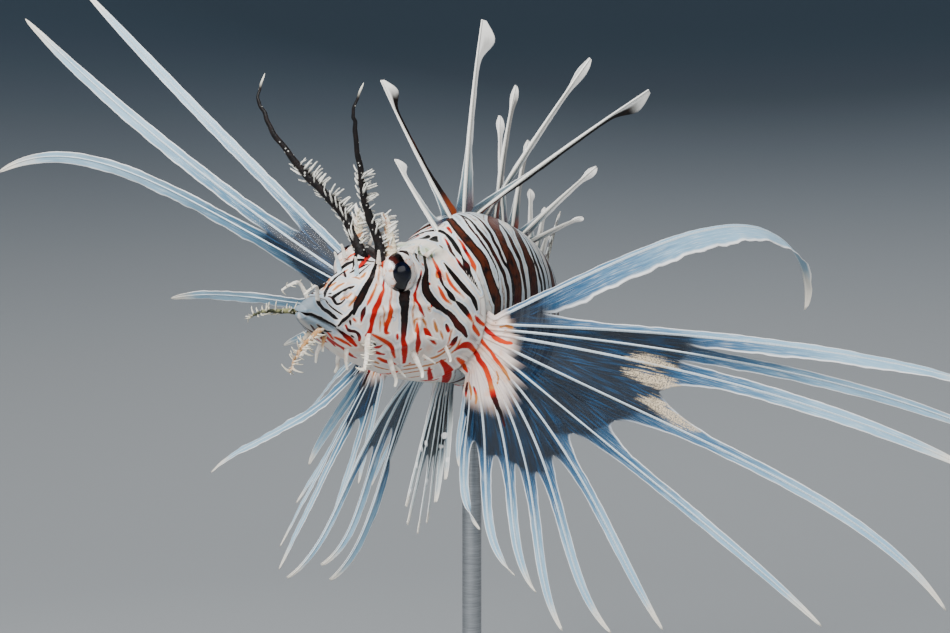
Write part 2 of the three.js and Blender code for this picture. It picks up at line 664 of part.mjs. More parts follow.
const flesh = {
  head: finishedHead(),
  lower_jaw: studded(lowerJaw, jawFlaps, 0.55),
  gill_cover_left: covers[0],
  gill_cover_right: covers[1],
  torso,
  tail_stalk: tailStalk,
};
for (const [name, body] of Object.entries(flesh)) {
  node(name, largest(body), fleshFinish);
}
node("eye_left", eyeShape(-1, eyeRadius, eyeDepth), eyeFinish);
node("eye_right", eyeShape(1, eyeRadius, eyeDepth), eyeFinish);

const fins = {
  dorsal_fin_spiny: spinyFin(),
  dorsal_fin_soft: softFin(softDorsal),
  anal_fin: softFin(analFin),
  caudal_fin: tailFin(),
  pelvic_fin_left: pelvicFin(leftPelvic),
  pelvic_fin_right: pelvicFin(rightPelvic),
};
for (const [name, body] of Object.entries(fins)) {
  node(name, largest(body.subtract(clearance)), finFinish);
}
for (const [side, fin] of Object.entries({ left: leftPectoral, right: rightPectoral })) {
  const [upper, lower] = pectoralFin(fin);
  node(`pectoral_fin_${side}_upper`, upper, finFinish);
  node(`pectoral_fin_${side}_lower`, lower, finFinish);
}

const tentacles = {
  brow: { arms: browArms, shape: { radius: 1.4, fingers: 12, from: 0.14, to: 0.66, reach: 3.4 } },
  snout: { arms: snoutArms, shape: { radius: 0.9, fingers: 6, from: 0.3, to: 0.8, reach: 2.2 } },
};
for (const [place, { arms, shape }] of Object.entries(tentacles)) {
  for (const [side, path] of Object.entries(arms)) {
    const body = fringedArm(path, shape).subtract(armClearance);
    node(`${place}_tentacle_${side}`, largest(body), armFinish);
  }
}

// Stand: a weighted disc, a collar and a rod up to the belly
const collarBottom = baseThickness + gap;
const collarTop = collarBottom + collarHeight;
const rodBottom = collarTop + gap;
const rodTop = bodyHeight + rodSunk;
const standBase = turned([
  [0, 0],
  [baseRadius, 0],
  [baseRadius, baseThickness - baseEdge],
  [baseRadius - baseEdge, baseThickness],
  [0, baseThickness],
]);
const standCollar = turned([
  [0, collarBottom],
  [collarRadius, collarBottom],
  [collarRadius, collarTop - collarEdge],
  [collarRadius - collarEdge, collarTop],
  [0, collarTop],
]);
const fullRod = turned([[0, rodBottom], [rodRadius, rodBottom], [rodRadius, rodTop], [0, rodTop]]);
const standingFish = solid(geometryOf(clearance).applyMatrix4(fish.matrix));
node("stand_base", standBase, standFinish, group);
node("stand_collar", standCollar, steelFinish, group);
node("stand_rod", largest(fullRod.subtract(standingFish)), steelFinish, group);

export default group;
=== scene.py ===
"""The looks of a life-size red lionfish, a still museum model on a display stand.

The fish is drawn in millimetres in a frame of its own, snout at the origin, tail towards +X and left side
towards -Y, and set into the model's frame by FishFrame. Places on the skin are given in millimetres from
the snout and degrees down from the back.
"""

import logging
import math
from dataclasses import dataclass, field
from enum import Enum
from typing import Callable, Sequence, Union

import bmesh
import bpy
import numpy as np
from mathutils import Matrix, Vector


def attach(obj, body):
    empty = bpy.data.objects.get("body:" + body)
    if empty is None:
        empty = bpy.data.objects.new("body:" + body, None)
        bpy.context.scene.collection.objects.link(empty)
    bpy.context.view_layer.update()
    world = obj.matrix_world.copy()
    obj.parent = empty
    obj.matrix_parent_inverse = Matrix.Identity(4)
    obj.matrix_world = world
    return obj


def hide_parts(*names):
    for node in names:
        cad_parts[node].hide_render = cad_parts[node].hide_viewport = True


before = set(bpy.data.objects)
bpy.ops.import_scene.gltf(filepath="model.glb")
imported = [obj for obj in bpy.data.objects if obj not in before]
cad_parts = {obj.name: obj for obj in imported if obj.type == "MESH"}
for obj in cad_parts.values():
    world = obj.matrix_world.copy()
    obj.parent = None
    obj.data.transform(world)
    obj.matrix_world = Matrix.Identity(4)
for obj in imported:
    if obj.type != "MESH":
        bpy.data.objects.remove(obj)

log = logging.getLogger("lionfish")
MM = 0.001
LEFT, RIGHT = -1, 1
SIDES = {LEFT: "left", RIGHT: "right"}
Array = np.ndarray


def smooth(value: Array, low: float, high: float) -> Array:
    """Return 0 below low, 1 above high, with a smooth rise between."""
    t = np.clip((np.asarray(value, float) - low) / (high - low), 0.0, 1.0)
    return t * t * (3.0 - 2.0 * t)


def bell(value: Array, middle: float, width: float) -> Array:
    """Return a bell of height 1 about the middle."""
    return np.exp(-(((np.asarray(value, float) - middle) / width) ** 2))


def lerp(a: float, b: float, t: Array) -> Array:
    """Return the value between a and b at share t."""
    return a + (b - a) * np.asarray(t, float)


def unit(vectors: Array) -> Array:
    """Return vectors at length 1, along the last axis."""
    return vectors / np.maximum(np.linalg.norm(vectors, axis=-1, keepdims=True), 1e-9)


def dot(a: Array, b: Array) -> Array:
    """Return the dot products along the last axis, kept as an axis of one."""
    return (a * b).sum(-1, keepdims=True)


def ripple(value: Array, seed: float) -> Array:
    """Return a smooth wandering value of about -1 to 1, from three waves that don't repeat together.

    Args:
        value: Where on the wave, in turns.
        seed: Shifts the waves, one number for each user.

    Returns:
        The sum of the waves.
    """
    turn = 2 * math.pi * np.asarray(value, float)
    waves = ((1.0, 1.0, 5.1), (0.6, 2.3, 9.7), (0.4, 4.9, 3.3))  # height, speed, shift for each seed
    return sum(height * np.sin(speed * turn + shift * seed) for height, speed, shift in waves) / 2.0


def smooth_path(points: Sequence[Sequence[float]], count: int) -> Array:
    """Return points at even steps of the parameter on a curve through given points.

    Args:
        points: The points that the curve goes through.
        count: How many points to return.

    Returns:
        An array with a row for each point.
    """
    p = np.array(points, float)
    if len(p) == 2:
        return lerp(p[0], p[1], np.linspace(0, 1, count)[:, None])
    padded = np.vstack([2 * p[0] - p[1], p, 2 * p[-1] - p[-2]])
    at = np.linspace(0, len(p) - 1, count)
    n = np.clip(at.astype(int), 0, len(p) - 2)
    t = (at - n)[:, None]
    a, b, c, d = padded[n], padded[n + 1], padded[n + 2], padded[n + 3]
    return 0.5 * (2 * b + (c - a) * t + (2 * a - 5 * b + 4 * c - d) * t**2 + (3 * b - a - 3 * c + d) * t**3)


def rgb(code: int) -> tuple[float, float, float, float]:
    """Return a screen colour, given as 0xRRGGBB, as linear red, green, blue and alpha."""
    parts = [((code >> shift) & 255) / 255 for shift in (16, 8, 0)]
    linear = [p / 12.92 if p <= 0.04045 else ((p + 0.055) / 1.055) ** 2.4 for p in parts]
    return (*linear, 1.0)


# Shader and geometry trees

Value = Union["Signal", float]
Output = Union[int, str]


class Signal:
    """A number socket of a node tree. Arithmetic on it adds Math nodes."""

    def __init__(self, tree: "NodeTree", socket: bpy.types.NodeSocket) -> None:
        """Keep the socket and the tree that it is in."""
        self.tree = tree
        self.socket = socket

    def _math(self, operation: str, first: Value, second: Value) -> "Signal":
        """Return the result of a Math node on two values."""
        return self.tree.signal("ShaderNodeMath", {"operation": operation}, {0: first, 1: second})

    def __add__(self, other: Value) -> "Signal":
        """Return the sum."""
        return self._math("ADD", self, other)

    def __sub__(self, other: Value) -> "Signal":
        """Return the difference."""
        return self._math("SUBTRACT", self, other)

    def __rsub__(self, other: Value) -> "Signal":
        """Return a number less this value."""
        return self._math("SUBTRACT", other, self)

    def __mul__(self, other: Value) -> "Signal":
        """Return the product."""
        return self._math("MULTIPLY", self, other)

    __radd__ = __add__
    __rmul__ = __mul__

    def __truediv__(self, other: Value) -> "Signal":
        """Return the quotient."""
        return self._math("DIVIDE", self, other)

    def __pow__(self, other: Value) -> "Signal":
        """Return the power."""
        return self._math("POWER", self, other)

    def sine(self) -> "Signal":
        """Return the sine."""
        return self.tree.signal("ShaderNodeMath", {"operation": "SINE"}, {0: self})

    def __abs__(self) -> "Signal":
        """Return the value without its sign."""
        return self._math("ABSOLUTE", self, 0.0)

    def at_least(self, other: Value) -> "Signal":
        """Return the larger of the two."""
        return self._math("MAXIMUM", self, other)

    def step(self, low: float, high: float) -> "Signal":
        """Return 0 below low and 1 above high, or the reverse where low is above high."""
        ends = {"From Min": min(low, high), "From Max": max(low, high)}
        ends |= {"To Min": float(low > high), "To Max": float(low < high)}
        settings = {"interpolation_type": "SMOOTHSTEP"}
        return self.tree.signal("ShaderNodeMapRange", settings, {"Value": self} | ends)

    def ridge(self, middle: float, width: float) -> "Signal":
        """Return 1 at the middle, falling to 0 at the width on both sides."""
        return abs(self - middle).step(width, 0.0)


class NodeTree:
    """Nodes and links, and the one way of adding to them."""

    def __init__(self, tree: bpy.types.NodeTree) -> None:
        """Keep the tree's nodes and links."""
        self.nodes = tree.nodes
        self.links = tree.links

    def node(self, kind: str, settings: dict, values: dict) -> bpy.types.Node:
        """Add a node.

        Args:
            kind: The node's type.
            settings: The node's own settings, set before its sockets.
            values: What each input socket, by name or number, is set to or linked from.

        Returns:
            The node.
        """
        made = self.nodes.new(kind)
        for key, value in settings.items():
            if key == "stops":
                self._set_stops(made.color_ramp, value)
            else:
                setattr(made, key, value)
        for key, value in values.items():
            self.feed(made.inputs[key], value)
        return made

    def _set_stops(self, ramp: bpy.types.ColorRamp, stops: Sequence[tuple[float, int]]) -> None:
        """Give a colour ramp its stops, each a position and a screen colour."""
        while len(ramp.elements) < len(stops):
            ramp.elements.new(1.0)
        for element, (position, code) in zip(ramp.elements, stops):
            element.position = position
            element.color = rgb(code)

    def feed(self, socket: bpy.types.NodeSocket, value: object) -> None:
        """Link a socket from a signal or another socket, or set it to a plain value."""
        source = value.socket if isinstance(value, Signal) else value
        if isinstance(source, bpy.types.NodeSocket):
            self.links.new(source, socket)
        else:
            socket.default_value = source

    def out(self, kind: str, settings: dict, values: dict, output: Output = 0) -> bpy.types.NodeSocket:
        """Add a node and return one of its outputs."""
        return self.node(kind, settings, values).outputs[output]

    def signal(self, kind: str, settings: dict, values: dict, output: Output = 0) -> Signal:
        """Add a node and return one of its outputs as a signal."""
        return Signal(self, self.out(kind, settings, values, output))


class ShaderTree(NodeTree):
    """The shader nodes of one material."""

    def __init__(self, name: str) -> None:
        """Make a material that has only its Principled shader and its output."""
        self.material = bpy.data.materials.new(name)
        self.material.use_nodes = True
        super().__init__(self.material.node_tree)
        self.shader = next(n for n in self.nodes if n.type == "BSDF_PRINCIPLED")

    def attribute(self, name: str) -> Signal:
        """Return a number that the mesh carries under a name."""
        return self.signal("ShaderNodeAttribute", {"attribute_name": name}, {}, "Fac")

    def place(self) -> bpy.types.NodeSocket:
        """Return the Object coordinates."""
        return self.out("ShaderNodeTexCoord", {}, {}, "Object")

    def noise(self, size: float, detail: float = 3.0, rough: float = 0.5,
              stretch: Sequence[float] = (1, 1, 1)) -> Signal:
        """Return fractal noise of 0 to 1.

        Args:
            size: The width of its largest grains in millimetres.
            detail: How many finer layers it has.
            rough: How strong those layers are.
            stretch: How much the grains are squeezed along each axis.

        Returns:
            The noise.
        """
        scaled = self.out("ShaderNodeMapping", {}, {"Vector": self.place(), "Scale": tuple(stretch)})
        values = {"Vector": scaled, "Scale": 1 / (size * MM), "Detail": detail, "Roughness": rough}
        return self.signal("ShaderNodeTexNoise", {}, values, "Fac")

    def streaks(self, length: float, width: float) -> Signal:
        """Return streaks of 0 to 1 along a fin's rays, of a length and width in millimetres."""
        values = {"X": self.attribute("length") * (1 / length), "Y": self.attribute("aside") * (1 / width)}
        place = self.out("ShaderNodeCombineXYZ", {}, values)
        return self.signal("ShaderNodeTexNoise", {}, {"Vector": place, "Scale": 1.0, "Detail": 3.0}, "Fac")

    def cells(self, size: float) -> Signal:
        """Return the distance pattern of round cells of a size in millimetres."""
        values = {"Vector": self.place(), "Scale": 1 / (size * MM)}
        return self.signal("ShaderNodeTexVoronoi", {"feature": "F1"}, values, "Distance")

    def ramp(self, factor: Signal, stops: Sequence[tuple[float, int]]) -> bpy.types.NodeSocket:
        """Return a colour looked up along stops."""
        return self.out("ShaderNodeValToRGB", {"stops": stops}, {"Fac": factor}, "Color")

    def mix(self, factor: Value, first: object, second: object) -> bpy.types.NodeSocket:
        """Return a colour between two, each a screen colour or a socket."""
        ends = [rgb(c) if isinstance(c, int) else c for c in (first, second)]
        settings = {"data_type": "RGBA", "clamp_factor": True}
        return self.out("ShaderNodeMix", settings, {0: factor, 6: ends[0], 7: ends[1]}, 2)

    def bump(self, height: Signal, depth: float) -> bpy.types.NodeSocket:
        """Return a normal bent by a height of 0 to 1 that stands for a depth in millimetres."""
        values = {"Height": height, "Distance": depth * MM, "Strength": 1.0}
        return self.out("ShaderNodeBump", {}, values)

    def finish(self, **sockets: object) -> bpy.types.Material:
        """Feed the Principled shader, with underscores in names for spaces, and return the material."""
        for key, value in sockets.items():
            self.feed(self.shader.inputs[key.replace("_", " ")], value)
        return self.material


# Meshes


def mesh_object(name: str, points: Array, faces: Sequence,
                data: dict[str, Array] | None = None) -> bpy.types.Object:
    """Make a mesh object from points in the fish's frame.

    Args:
        name: The object's name.
        points: Places in millimetres, in the fish's frame.
        faces: Corner numbers of each face.
        data: Numbers for each point, by name, for the material.

    Returns:
        The object, set in the model's frame, shaded smooth.
    """
    mesh = bpy.data.meshes.new(name)
    mesh.from_pydata((FISH.to_model(points) * MM).tolist(), [], [tuple(f) for f in faces])
    for key, values in (data or {}).items():
        layer = mesh.attributes.new(key, "FLOAT", "POINT")
        layer.data.foreach_set("value", np.asarray(values, np.float32).ravel())
    mesh.shade_smooth()
    made = bpy.data.objects.new(name, mesh)
    bpy.context.scene.collection.objects.link(made)
    return made


def tube_faces(rows: int, around: int) -> list[tuple[int, ...]]:
    """Return the quads of rings joined one to the next, with a face at each end.

    Args:
        rows: How many rings there are.
        around: How many points a ring has.

    Returns:
        Each face's corner numbers, ring by ring.
    """
    quads = [
        (r + n, r + (n + 1) % around, r + around + (n + 1) % around, r + around + n)
        for r in range(0, (rows - 1) * around, around)
        for n in range(around)
    ]
    first = tuple(reversed(range(around)))
    last = tuple(range((rows - 1) * around, rows * around))
    return [*quads, first, last]


def join_meshes(name: str, parts: Sequence[bpy.types.Object]) -> bpy.types.Object:
    """Join mesh objects into the first one and name it.

    Args:
        name: The joined object's name.
        parts: The objects.

    Returns:
        The joined object.
    """
    with bpy.context.temp_override(active_object=parts[0], selected_editable_objects=list(parts)):
        bpy.ops.object.join()
    parts[0].name = name
    parts[0].data.name = name
    return parts[0]


def turn_outwards(made: bpy.types.Object) -> None:
    """Turn a closed mesh's faces to point outwards."""
    shell = bmesh.new()
    shell.from_mesh(made.data)
    bmesh.ops.recalc_face_normals(shell, faces=shell.faces)
    shell.to_mesh(made.data)
    shell.free()


def add_piece(made: bpy.types.Object, material: bpy.types.Material, slot: str, *nodes: str) -> None:
    """Dress a finished piece and tie it to the frame.

    Args:
        made: The piece.
        material: Its finish.
        slot: The record's material slot; not used.
        nodes: The CAD nodes that it stands for.
    """
    made.data.materials.clear()
    made.data.materials.append(material)
    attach(made, "root")
    if nodes:
        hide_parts(*nodes)
    log.info("%s: %d points", made.name, len(made.data.vertices))


# The fish's body

Section = tuple[float, float, float, float]


@dataclass
class BodyShape:
    """The outline of the body, as shares of the length from the snout to the root of the tail fin."""

    length: float = 140.0
    bend_start: float = 0.5
    bend_angle: float = math.radians(44)
    eye: tuple[float, float, float] = (0.163, 0.054, 0.073)
    eye_radius: float = 0.033
    eye_depth: float = 0.024
    eye_up: float = math.radians(12)
    eye_forward: float = math.radians(9)
    mouth_end: float = 0.125
    sections: tuple[Section, ...] = (
        # distance from the snout, back, belly, half width
        (0.0, 0.004, -0.02, 0.007),
        (0.012, 0.011, -0.028, 0.017),
        (0.035, 0.02, -0.038, 0.032),
        (0.07, 0.038, -0.057, 0.045),
        (0.11, 0.063, -0.077, 0.057),
        (0.15, 0.092, -0.089, 0.067),
        (0.2, 0.112, -0.1, 0.082),
        (0.25, 0.12, -0.11, 0.093),
        (0.3, 0.134, -0.115, 0.1),
        (0.33, 0.157, -0.117, 0.102),
        (0.37, 0.184, -0.119, 0.104),
        (0.44, 0.192, -0.123, 0.1),
        (0.54, 0.178, -0.128, 0.09),
        (0.64, 0.148, -0.134, 0.077),
        (0.74, 0.11, -0.124, 0.056),
        (0.83, 0.076, -0.086, 0.035),
        (0.91, 0.055, -0.056, 0.023),
        (1.0, 0.056, -0.056, 0.014),
    )

    def profile(self, x: Array, column: int) -> Array:
        """Return one column of the sections, on a smooth curve through them.

        Args:
            x: Shares of the length from the snout.
            column: Number in a section.

        Returns:
            The values there, as shares of the length.
        """
        table = np.array(self.sections)
        place, value = table[:, 0], table[:, column]
        last = len(table) - 1
        rows = np.arange(last + 1)
        before, after = np.maximum(rows - 1, 0), np.minimum(rows + 1, last)
        slope = (value[after] - value[before]) / (place[after] - place[before])
        i = np.clip(np.searchsorted(place, x, "left") - 1, 0, last - 1)
        span = place[i + 1] - place[i]
        t = np.clip((x - place[i]) / span, 0, 1)
        leave, arrive = slope[i] * span, slope[i + 1] * span
        return ((2 * t**3 - 3 * t**2 + 1) * value[i] + (t**3 - 2 * t**2 + t) * leave
                + (3 * t**2 - 2 * t**3) * value[i + 1] + (t**3 - t**2) * arrive)

    def bend(self, points: Array) -> Array:
        """Return points of the straight fish moved onto the one whose tail curves to its right.

        Args:
            points: Points of the straight fish in millimetres.

        Returns:
            The moved points.
        """
        radius = (1 - self.bend_start) * self.length / self.bend_angle
        x, y, z = points[..., 0], points[..., 1], points[..., 2]
        along = np.maximum(x - self.bend_start * self.length, 0)
        turn = np.minimum(along / radius, self.bend_angle)
        beyond = along - turn * radius
        start = np.minimum(x, self.bend_start * self.length)
        bent_x = start + radius * np.sin(turn) + beyond * np.cos(turn) - y * np.sin(turn)
        bent_y = radius * (1 - np.cos(turn)) + beyond * np.sin(turn) + y * np.cos(turn)
        return np.stack([bent_x, bent_y, z], -1)

    def turn_at(self, x: float) -> float:
        """Return how far the tail's curve has turned at a distance from the snout."""
        radius = (1 - self.bend_start) * self.length / self.bend_angle
        return float(np.clip((x - self.bend_start) * self.length / radius, 0, self.bend_angle))

    def mouth_height(self, x: Array) -> Array:
        """Return the height of the line of the mouth."""
        return -0.012 - 0.4 * np.asarray(x)

    def gill_edge(self, z: Array) -> Array:
        """Return how far back the gill cover reaches at a height."""
        low = np.where(z < -0.02, 4.2 * (z + 0.02) ** 2, 0)
        return 0.352 - 2.4 * (z + 0.02) ** 2 - low

    def straight_skin(self, x: Array, angle: Array) -> Array:
        """Return points of the skin before the tail is curved.

        Args:
            x: Share of the length from the snout.
            angle: Angle from the back, positive to the fish's right.

        Returns:
            Points in millimetres.
        """
        x, angle = np.broadcast_arrays(np.asarray(x, float), np.asarray(angle, float))
        top, bottom, half = (self.profile(x, column) for column in (1, 2, 3))
        middle = lerp(top, bottom, 0.52)
        s, c = np.sin(angle), np.cos(angle)
        y = half * np.sign(s) * np.abs(s) ** 0.92
        z = middle + np.where(c > 0, top - middle, middle - bottom) * np.sign(c) * np.abs(c) ** 0.96
        across = np.abs(y) / half
        upper = np.maximum(c, 0)
        z += 0.02 * bell(x, 0.17, 0.04) * bell(across, 0.62, 0.25) * upper
        z -= 0.016 * bell(x, 0.17, 0.06) * bell(across, 0, 0.3) * upper
        z -= 0.008 * bell(x, 0.235, 0.03) * upper
        side = np.sign(y) * smooth(across, 0.3, 0.9)
        y += side * 0.006 * bell(z, -0.035, 0.014) * bell(x, 0.19, 0.09)
        y += side * 0.006 * bell(z - self.mouth_height(x), 0, 0.02) * (1 - smooth(x, 0.08, 0.15))
        edge = self.gill_edge(z)
        y += side * 0.008 * (1 - smooth(x - edge, -0.006, 0.012)) * smooth(x, 0.24, 0.33)
        return np.stack([x, y, z], -1) * self.length

    def skin(self, x: Array, angle: Array, grow: float = 0.0) -> Array:
        """Return points of the skin, pushed out by a number of millimetres.

        Args:
            x: Share of the length from the snout.
            angle: Angle from the back, positive to the fish's right.
            grow: Millimetres outwards.

        Returns:
            Points in millimetres.
        """
        straight = self.straight_skin(x, angle)
        angle = np.broadcast_to(angle, straight.shape[:-1])
        straight[..., 1] += grow * np.sin(angle)
        straight[..., 2] += grow * np.cos(angle)
        return self.bend(straight)

    def eye_axes(self, side: int) -> Array:
        """Return the directions forwards, outwards and upwards of one eye, as rows.

        Args:
            side: LEFT or RIGHT.

        Returns:
            A row for each direction.
        """
        a, b = side * self.eye_up, side * self.eye_forward
        tip = np.array([[1, 0, 0], [0, math.cos(a), -math.sin(a)], [0, math.sin(a), math.cos(a)]])
        swing = np.array([[math.cos(b), -math.sin(b), 0], [math.sin(b), math.cos(b), 0], [0, 0, 1]])
        turned = swing @ tip
        return np.stack([-turned[:, 0], side * turned[:, 1], turned[:, 2]])

    def eye_centre(self, side: int) -> Array:
        """Return the centre of one eye."""
        return np.array([self.eye[0], side * self.eye[1], self.eye[2]]) * self.length


BODY = BodyShape()


@dataclass
class FishFrame:
    """How the fish stands in the model: banked to its left, nose up, its belly over the stand."""

    bank: float = math.radians(7.7)
    nose_up: float = math.radians(4.2)
    belly_height: float = 133.0
    rod_at: float = 0.5
    matrix: Array = field(init=False)
    offset: Array = field(init=False)

    def __post_init__(self) -> None:
        """Work out the turn and the shift from the fish's frame to the model's."""
        (sb, cb), (sn, cn) = ((math.sin(a), math.cos(a)) for a in (self.bank, self.nose_up))
        about_x = np.array([[1, 0, 0], [0, cb, -sb], [0, sb, cb]])
        about_y = np.array([[cn, 0, sn], [0, 1, 0], [-sn, 0, cn]])
        self.matrix = about_x @ about_y
        belly = self.matrix @ BODY.skin(self.rod_at, math.pi)
        self.offset = np.array([-belly[0], -belly[1], self.belly_height - belly[2]])

    def to_model(self, points: Array) -> Array:
        """Return points in the model's frame, in millimetres."""
        return np.asarray(points, float) @ self.matrix.T + self.offset


FISH = FishFrame()


# Markings


class Tone(Enum):
    """Colours of the stripes, as places on the skin's colour ramp."""

    BLACK = 0.0
    UMBER = 0.2
    MAROON = 0.45
    RED = 0.68
    ORANGE = 0.86
    TAN = 1.0


TONES = {tone.name[0]: tone for tone in Tone}


@dataclass(frozen=True)
class Stripe:
    """A stripe on the skin: its colours by their first letters, and points with the stripe's width at each.

    A point is millimetres from the snout, degrees down from the back and the width in millimetres. A stripe
    lies on both flanks, unless it is one that the right one alone has.
    """

    tones: str
    path: tuple[tuple[float, float, float], ...]
    core: float = 0.0
    right: bool = False


EYE_STRIPES = (
    Stripe("BUB", ((25, 0, 3.2), (24.4, 34, 4), (23.9, 40, 2.8), (23.7, 44, 2.5)), 0.5),
    Stripe("BBBMRR", ((23.6, 53, 4.6), (23.4, 64, 3.7), (23, 74, 2.9), (23.4, 83, 2.2), (23.9, 94, 1.9),
        (24, 104, 1.6), (24.2, 112, 1.3), (26.5, 123, 1.8), (28.9, 138, 1.2)), 0.35),
    Stripe("BBB", ((22.7, 2, 1.3), (17.8, 26, 1.2), (16.3, 34, 1.2), (14.6, 41, 1.4), (13.3, 48, 1.7),
        (11.8, 58, 1.9), (10.8, 66, 1.7), (10.2, 80, 1.1)), 0.6),
    Stripe("MORRRR", ((18.6, 47, 0.6), (18.1, 52, 0.6), (18, 58, 0.7), (17.3, 63, 1.1), (16.5, 70, 1.4),
        (15.3, 78, 1.4), (15, 88, 1.4), (15, 96, 1.2), (14.6, 107, 1.5), (13.9, 111, 0.9))),
    Stripe("TTOO", ((16.8, 45, 0.4), (16.3, 50, 0.4), (15.3, 56, 0.6), (14.1, 64, 0.6), (13.6, 68, 0.4))),
    Stripe("MMR", ((13.1, 70, 0.6), (12.4, 80, 1.2), (12.1, 92, 0.5))),
    Stripe("OOO", ((26.9, 1, 0.5), (20, 29, 0.6), (19.2, 34, 0.5), (19.3, 39, 0.3))),
    Stripe("TTT", ((20, 20, 0.3), (17.8, 37, 0.3), (17.1, 48, 0.3))),
    Stripe("TOOORO", ((20, 58, 0.3), (19.8, 66, 0.4), (19.5, 76, 0.5), (19.7, 84, 1.4), (19.7, 90, 1.2),
        (19.3, 96, 1.4), (19.2, 104, 1.2), (20.2, 106, 0.4))),
    Stripe("UU", ((20.2, 88, 0.3), (21, 90, 0.3))),
    Stripe("RR", ((22.3, 107, 0.9), (22.7, 112, 0.5))),
    Stripe("TTT", ((17.1, 86, 0.3), (17.3, 94, 0.5), (17.5, 103, 0.3))),
    Stripe("TTT", ((17.6, 75, 0.3), (18.1, 86, 0.4), (18.5, 97, 0.3))),
    Stripe("OMMR", ((28.9, 48, 0.5), (28.2, 54, 0.7), (27, 61, 0.7), (26.5, 66, 0.7))),
    Stripe("RRR", ((26.4, 66, 0.7), (26, 72, 1.1), (26.7, 78, 0.9), (27.7, 83, 1), (29.1, 88, 0.5))),
    Stripe("TTTT", ((27, 102, 0.5), (26.7, 92, 0.5), (27.7, 90, 0.3), (28.9, 91, 0.6), (29.9, 94, 0.6),
        (30.2, 97, 0.5))),
    Stripe("ORRO", ((27.2, 93, 0.5), (27.6, 100, 0.9), (27.9, 108, 1.4), (28.9, 114, 1.4), (29.9, 120, 0.9),
        (30.7, 124, 0.4))),
    Stripe("RRRO", ((29.6, 98, 0.8), (30.6, 101, 1.6), (31.8, 105, 1.2), (32.9, 108, 0.8), (34.1, 110, 0.5))),
    Stripe("TTT", ((25.4, 75, 0.3), (25.7, 85, 0.4), (26.4, 95, 0.3))),
    Stripe("BBBBBBBU", ((37, 4, 0.5), (35.1, 11, 0.8), (32.9, 25, 1.3), (31.9, 37, 1.3), (30.9, 47, 1.5),
        (29.6, 56, 2.1), (29.2, 64, 2.4), (30.2, 70, 2.5), (32.1, 76, 2.5), (33.9, 79, 1.9),
        (35.8, 83, 1.6)), 0.55),
    Stripe("UMMM", ((35.8, 82, 1.7), (37.8, 87, 1.7), (39.5, 92, 1.9), (41.3, 96, 1.7), (43, 102, 1.1)), 0.6),
    Stripe("TT", ((32.1, 90, 0.5), (33.6, 98, 1))),
    Stripe("TT", ((34.6, 98, 0.6), (35.6, 104, 0.6))),
    Stripe("MR", ((36, 92, 0.8), (37, 97, 1.3))),
    Stripe("MMR", ((40, 102, 0.9), (39.3, 106, 1.6), (38.5, 109, 0.7))),
    Stripe("TO", ((38, 96, 0.4), (37.6, 108, 0.5))),
    Stripe("TT", ((29.7, 80, 0.5), (30.6, 83, 0.4))),
    Stripe("UU", ((26.2, 42, 0.6), (26.5, 44, 0.4))),
    Stripe("TUU", ((34.8, 2, 0.3), (28.9, 31, 0.7), (29.1, 39, 0.8))),
)
SNOUT_STRIPES = (
    Stripe("BBBBU", ((4.2, 0, 0.8), (2.7, 35, 1.1), (2.9, 63, 0.9), (3.9, 77, 1), (5.2, 90, 1),
        (6, 93, 0.5)), 0.3),
    Stripe("BBBBU", ((0, 104, 1.2), (0.7, 98, 0.9), (2.4, 107, 1), (4, 114, 1), (5.5, 117, 1)), 0.4),
    Stripe("BBB", ((7.4, 26, 0.8), (11.9, 36, 0.5), (15, 38, 0.5), (16.3, 36, 0.9)), right=True),
    Stripe("BBBB", ((4.9, -20, 0.6), (6.6, -2, 0.9), (10.4, 16, 1), (13.6, 22, 1.2),
        (16, 20, 1)), right=True),
    Stripe("TT", ((7.4, 14, 0.5), (13.8, 37, 0.5)), right=True),
    Stripe("BBBM", ((6.2, 34, 1.2), (7.6, 29, 1.1), (9.6, 28, 1), (11.1, 29, 1), (12.1, 29, 0.6))),
    Stripe("MBBU", ((5.7, 26, 1), (6, 44, 0.9), (6.4, 55, 0.7), (7.4, 54, 0.5), (8.4, 49, 0.5))),
    Stripe("TT", ((7.7, 46, 0.5), (9.1, 44, 0.6), (10.4, 42, 0.5))),
    Stripe("TT", ((8.1, 10, 0.6), (10.1, 7, 0.8), (11.4, 8, 0.6))),
    Stripe("UU", ((4, 19, 0.5), (4.4, 50, 0.5), (5.5, 70, 0.5), (7.2, 82, 0.5))),
    Stripe("UU", ((6.4, 16, 0.8), (6.9, 16, 0.6))),
    Stripe("MRRO", ((23.9, 13, 1.1), (21.8, 10, 1.1), (19.3, 6, 1.1), (17, 4, 0.6)), right=True),
    Stripe("BB", ((21.2, 1, 0.5), (18.8, 4, 0.7), (17, 6, 0.8), (15, 9, 0.5))),
    Stripe("TT", ((16.5, 17, 0.6), (15.1, 21, 0.8))),
    Stripe("BBB", ((24.9, 30, 0.5), (26.4, 27, 1), (25, 14, 1.2)), right=True),
    Stripe("BBB", ((23.4, 33, 0.5), (20.3, 23, 0.8), (17.1, 10, 0.5)), right=True),
    Stripe("OO", ((22.7, 22, 1), (22.8, 16, 0.7)), right=True),
    Stripe("MU", ((15.6, 18, 0.6), (13.9, 4, 0.7)), right=True),
    Stripe("BBBU", ((9.9, 74, 0.9), (8.7, 84, 0.8), (7.2, 94, 0.8), (6, 110, 0.7))),
    Stripe("UU", ((8.4, 88, 0.5), (6.9, 99, 0.5))),
    Stripe("TT", ((11.3, 50, 0.5), (9.1, 64, 0.5))),
    Stripe("TT", ((14.4, 6, 0.5), (14.4, 22, 0.6))),
    Stripe("MM", ((9.2, 92, 0.8), (9.6, 100, 0.5))),
    Stripe("OO", ((10.1, 88, 0.5), (10.8, 92, 0.5))),
)
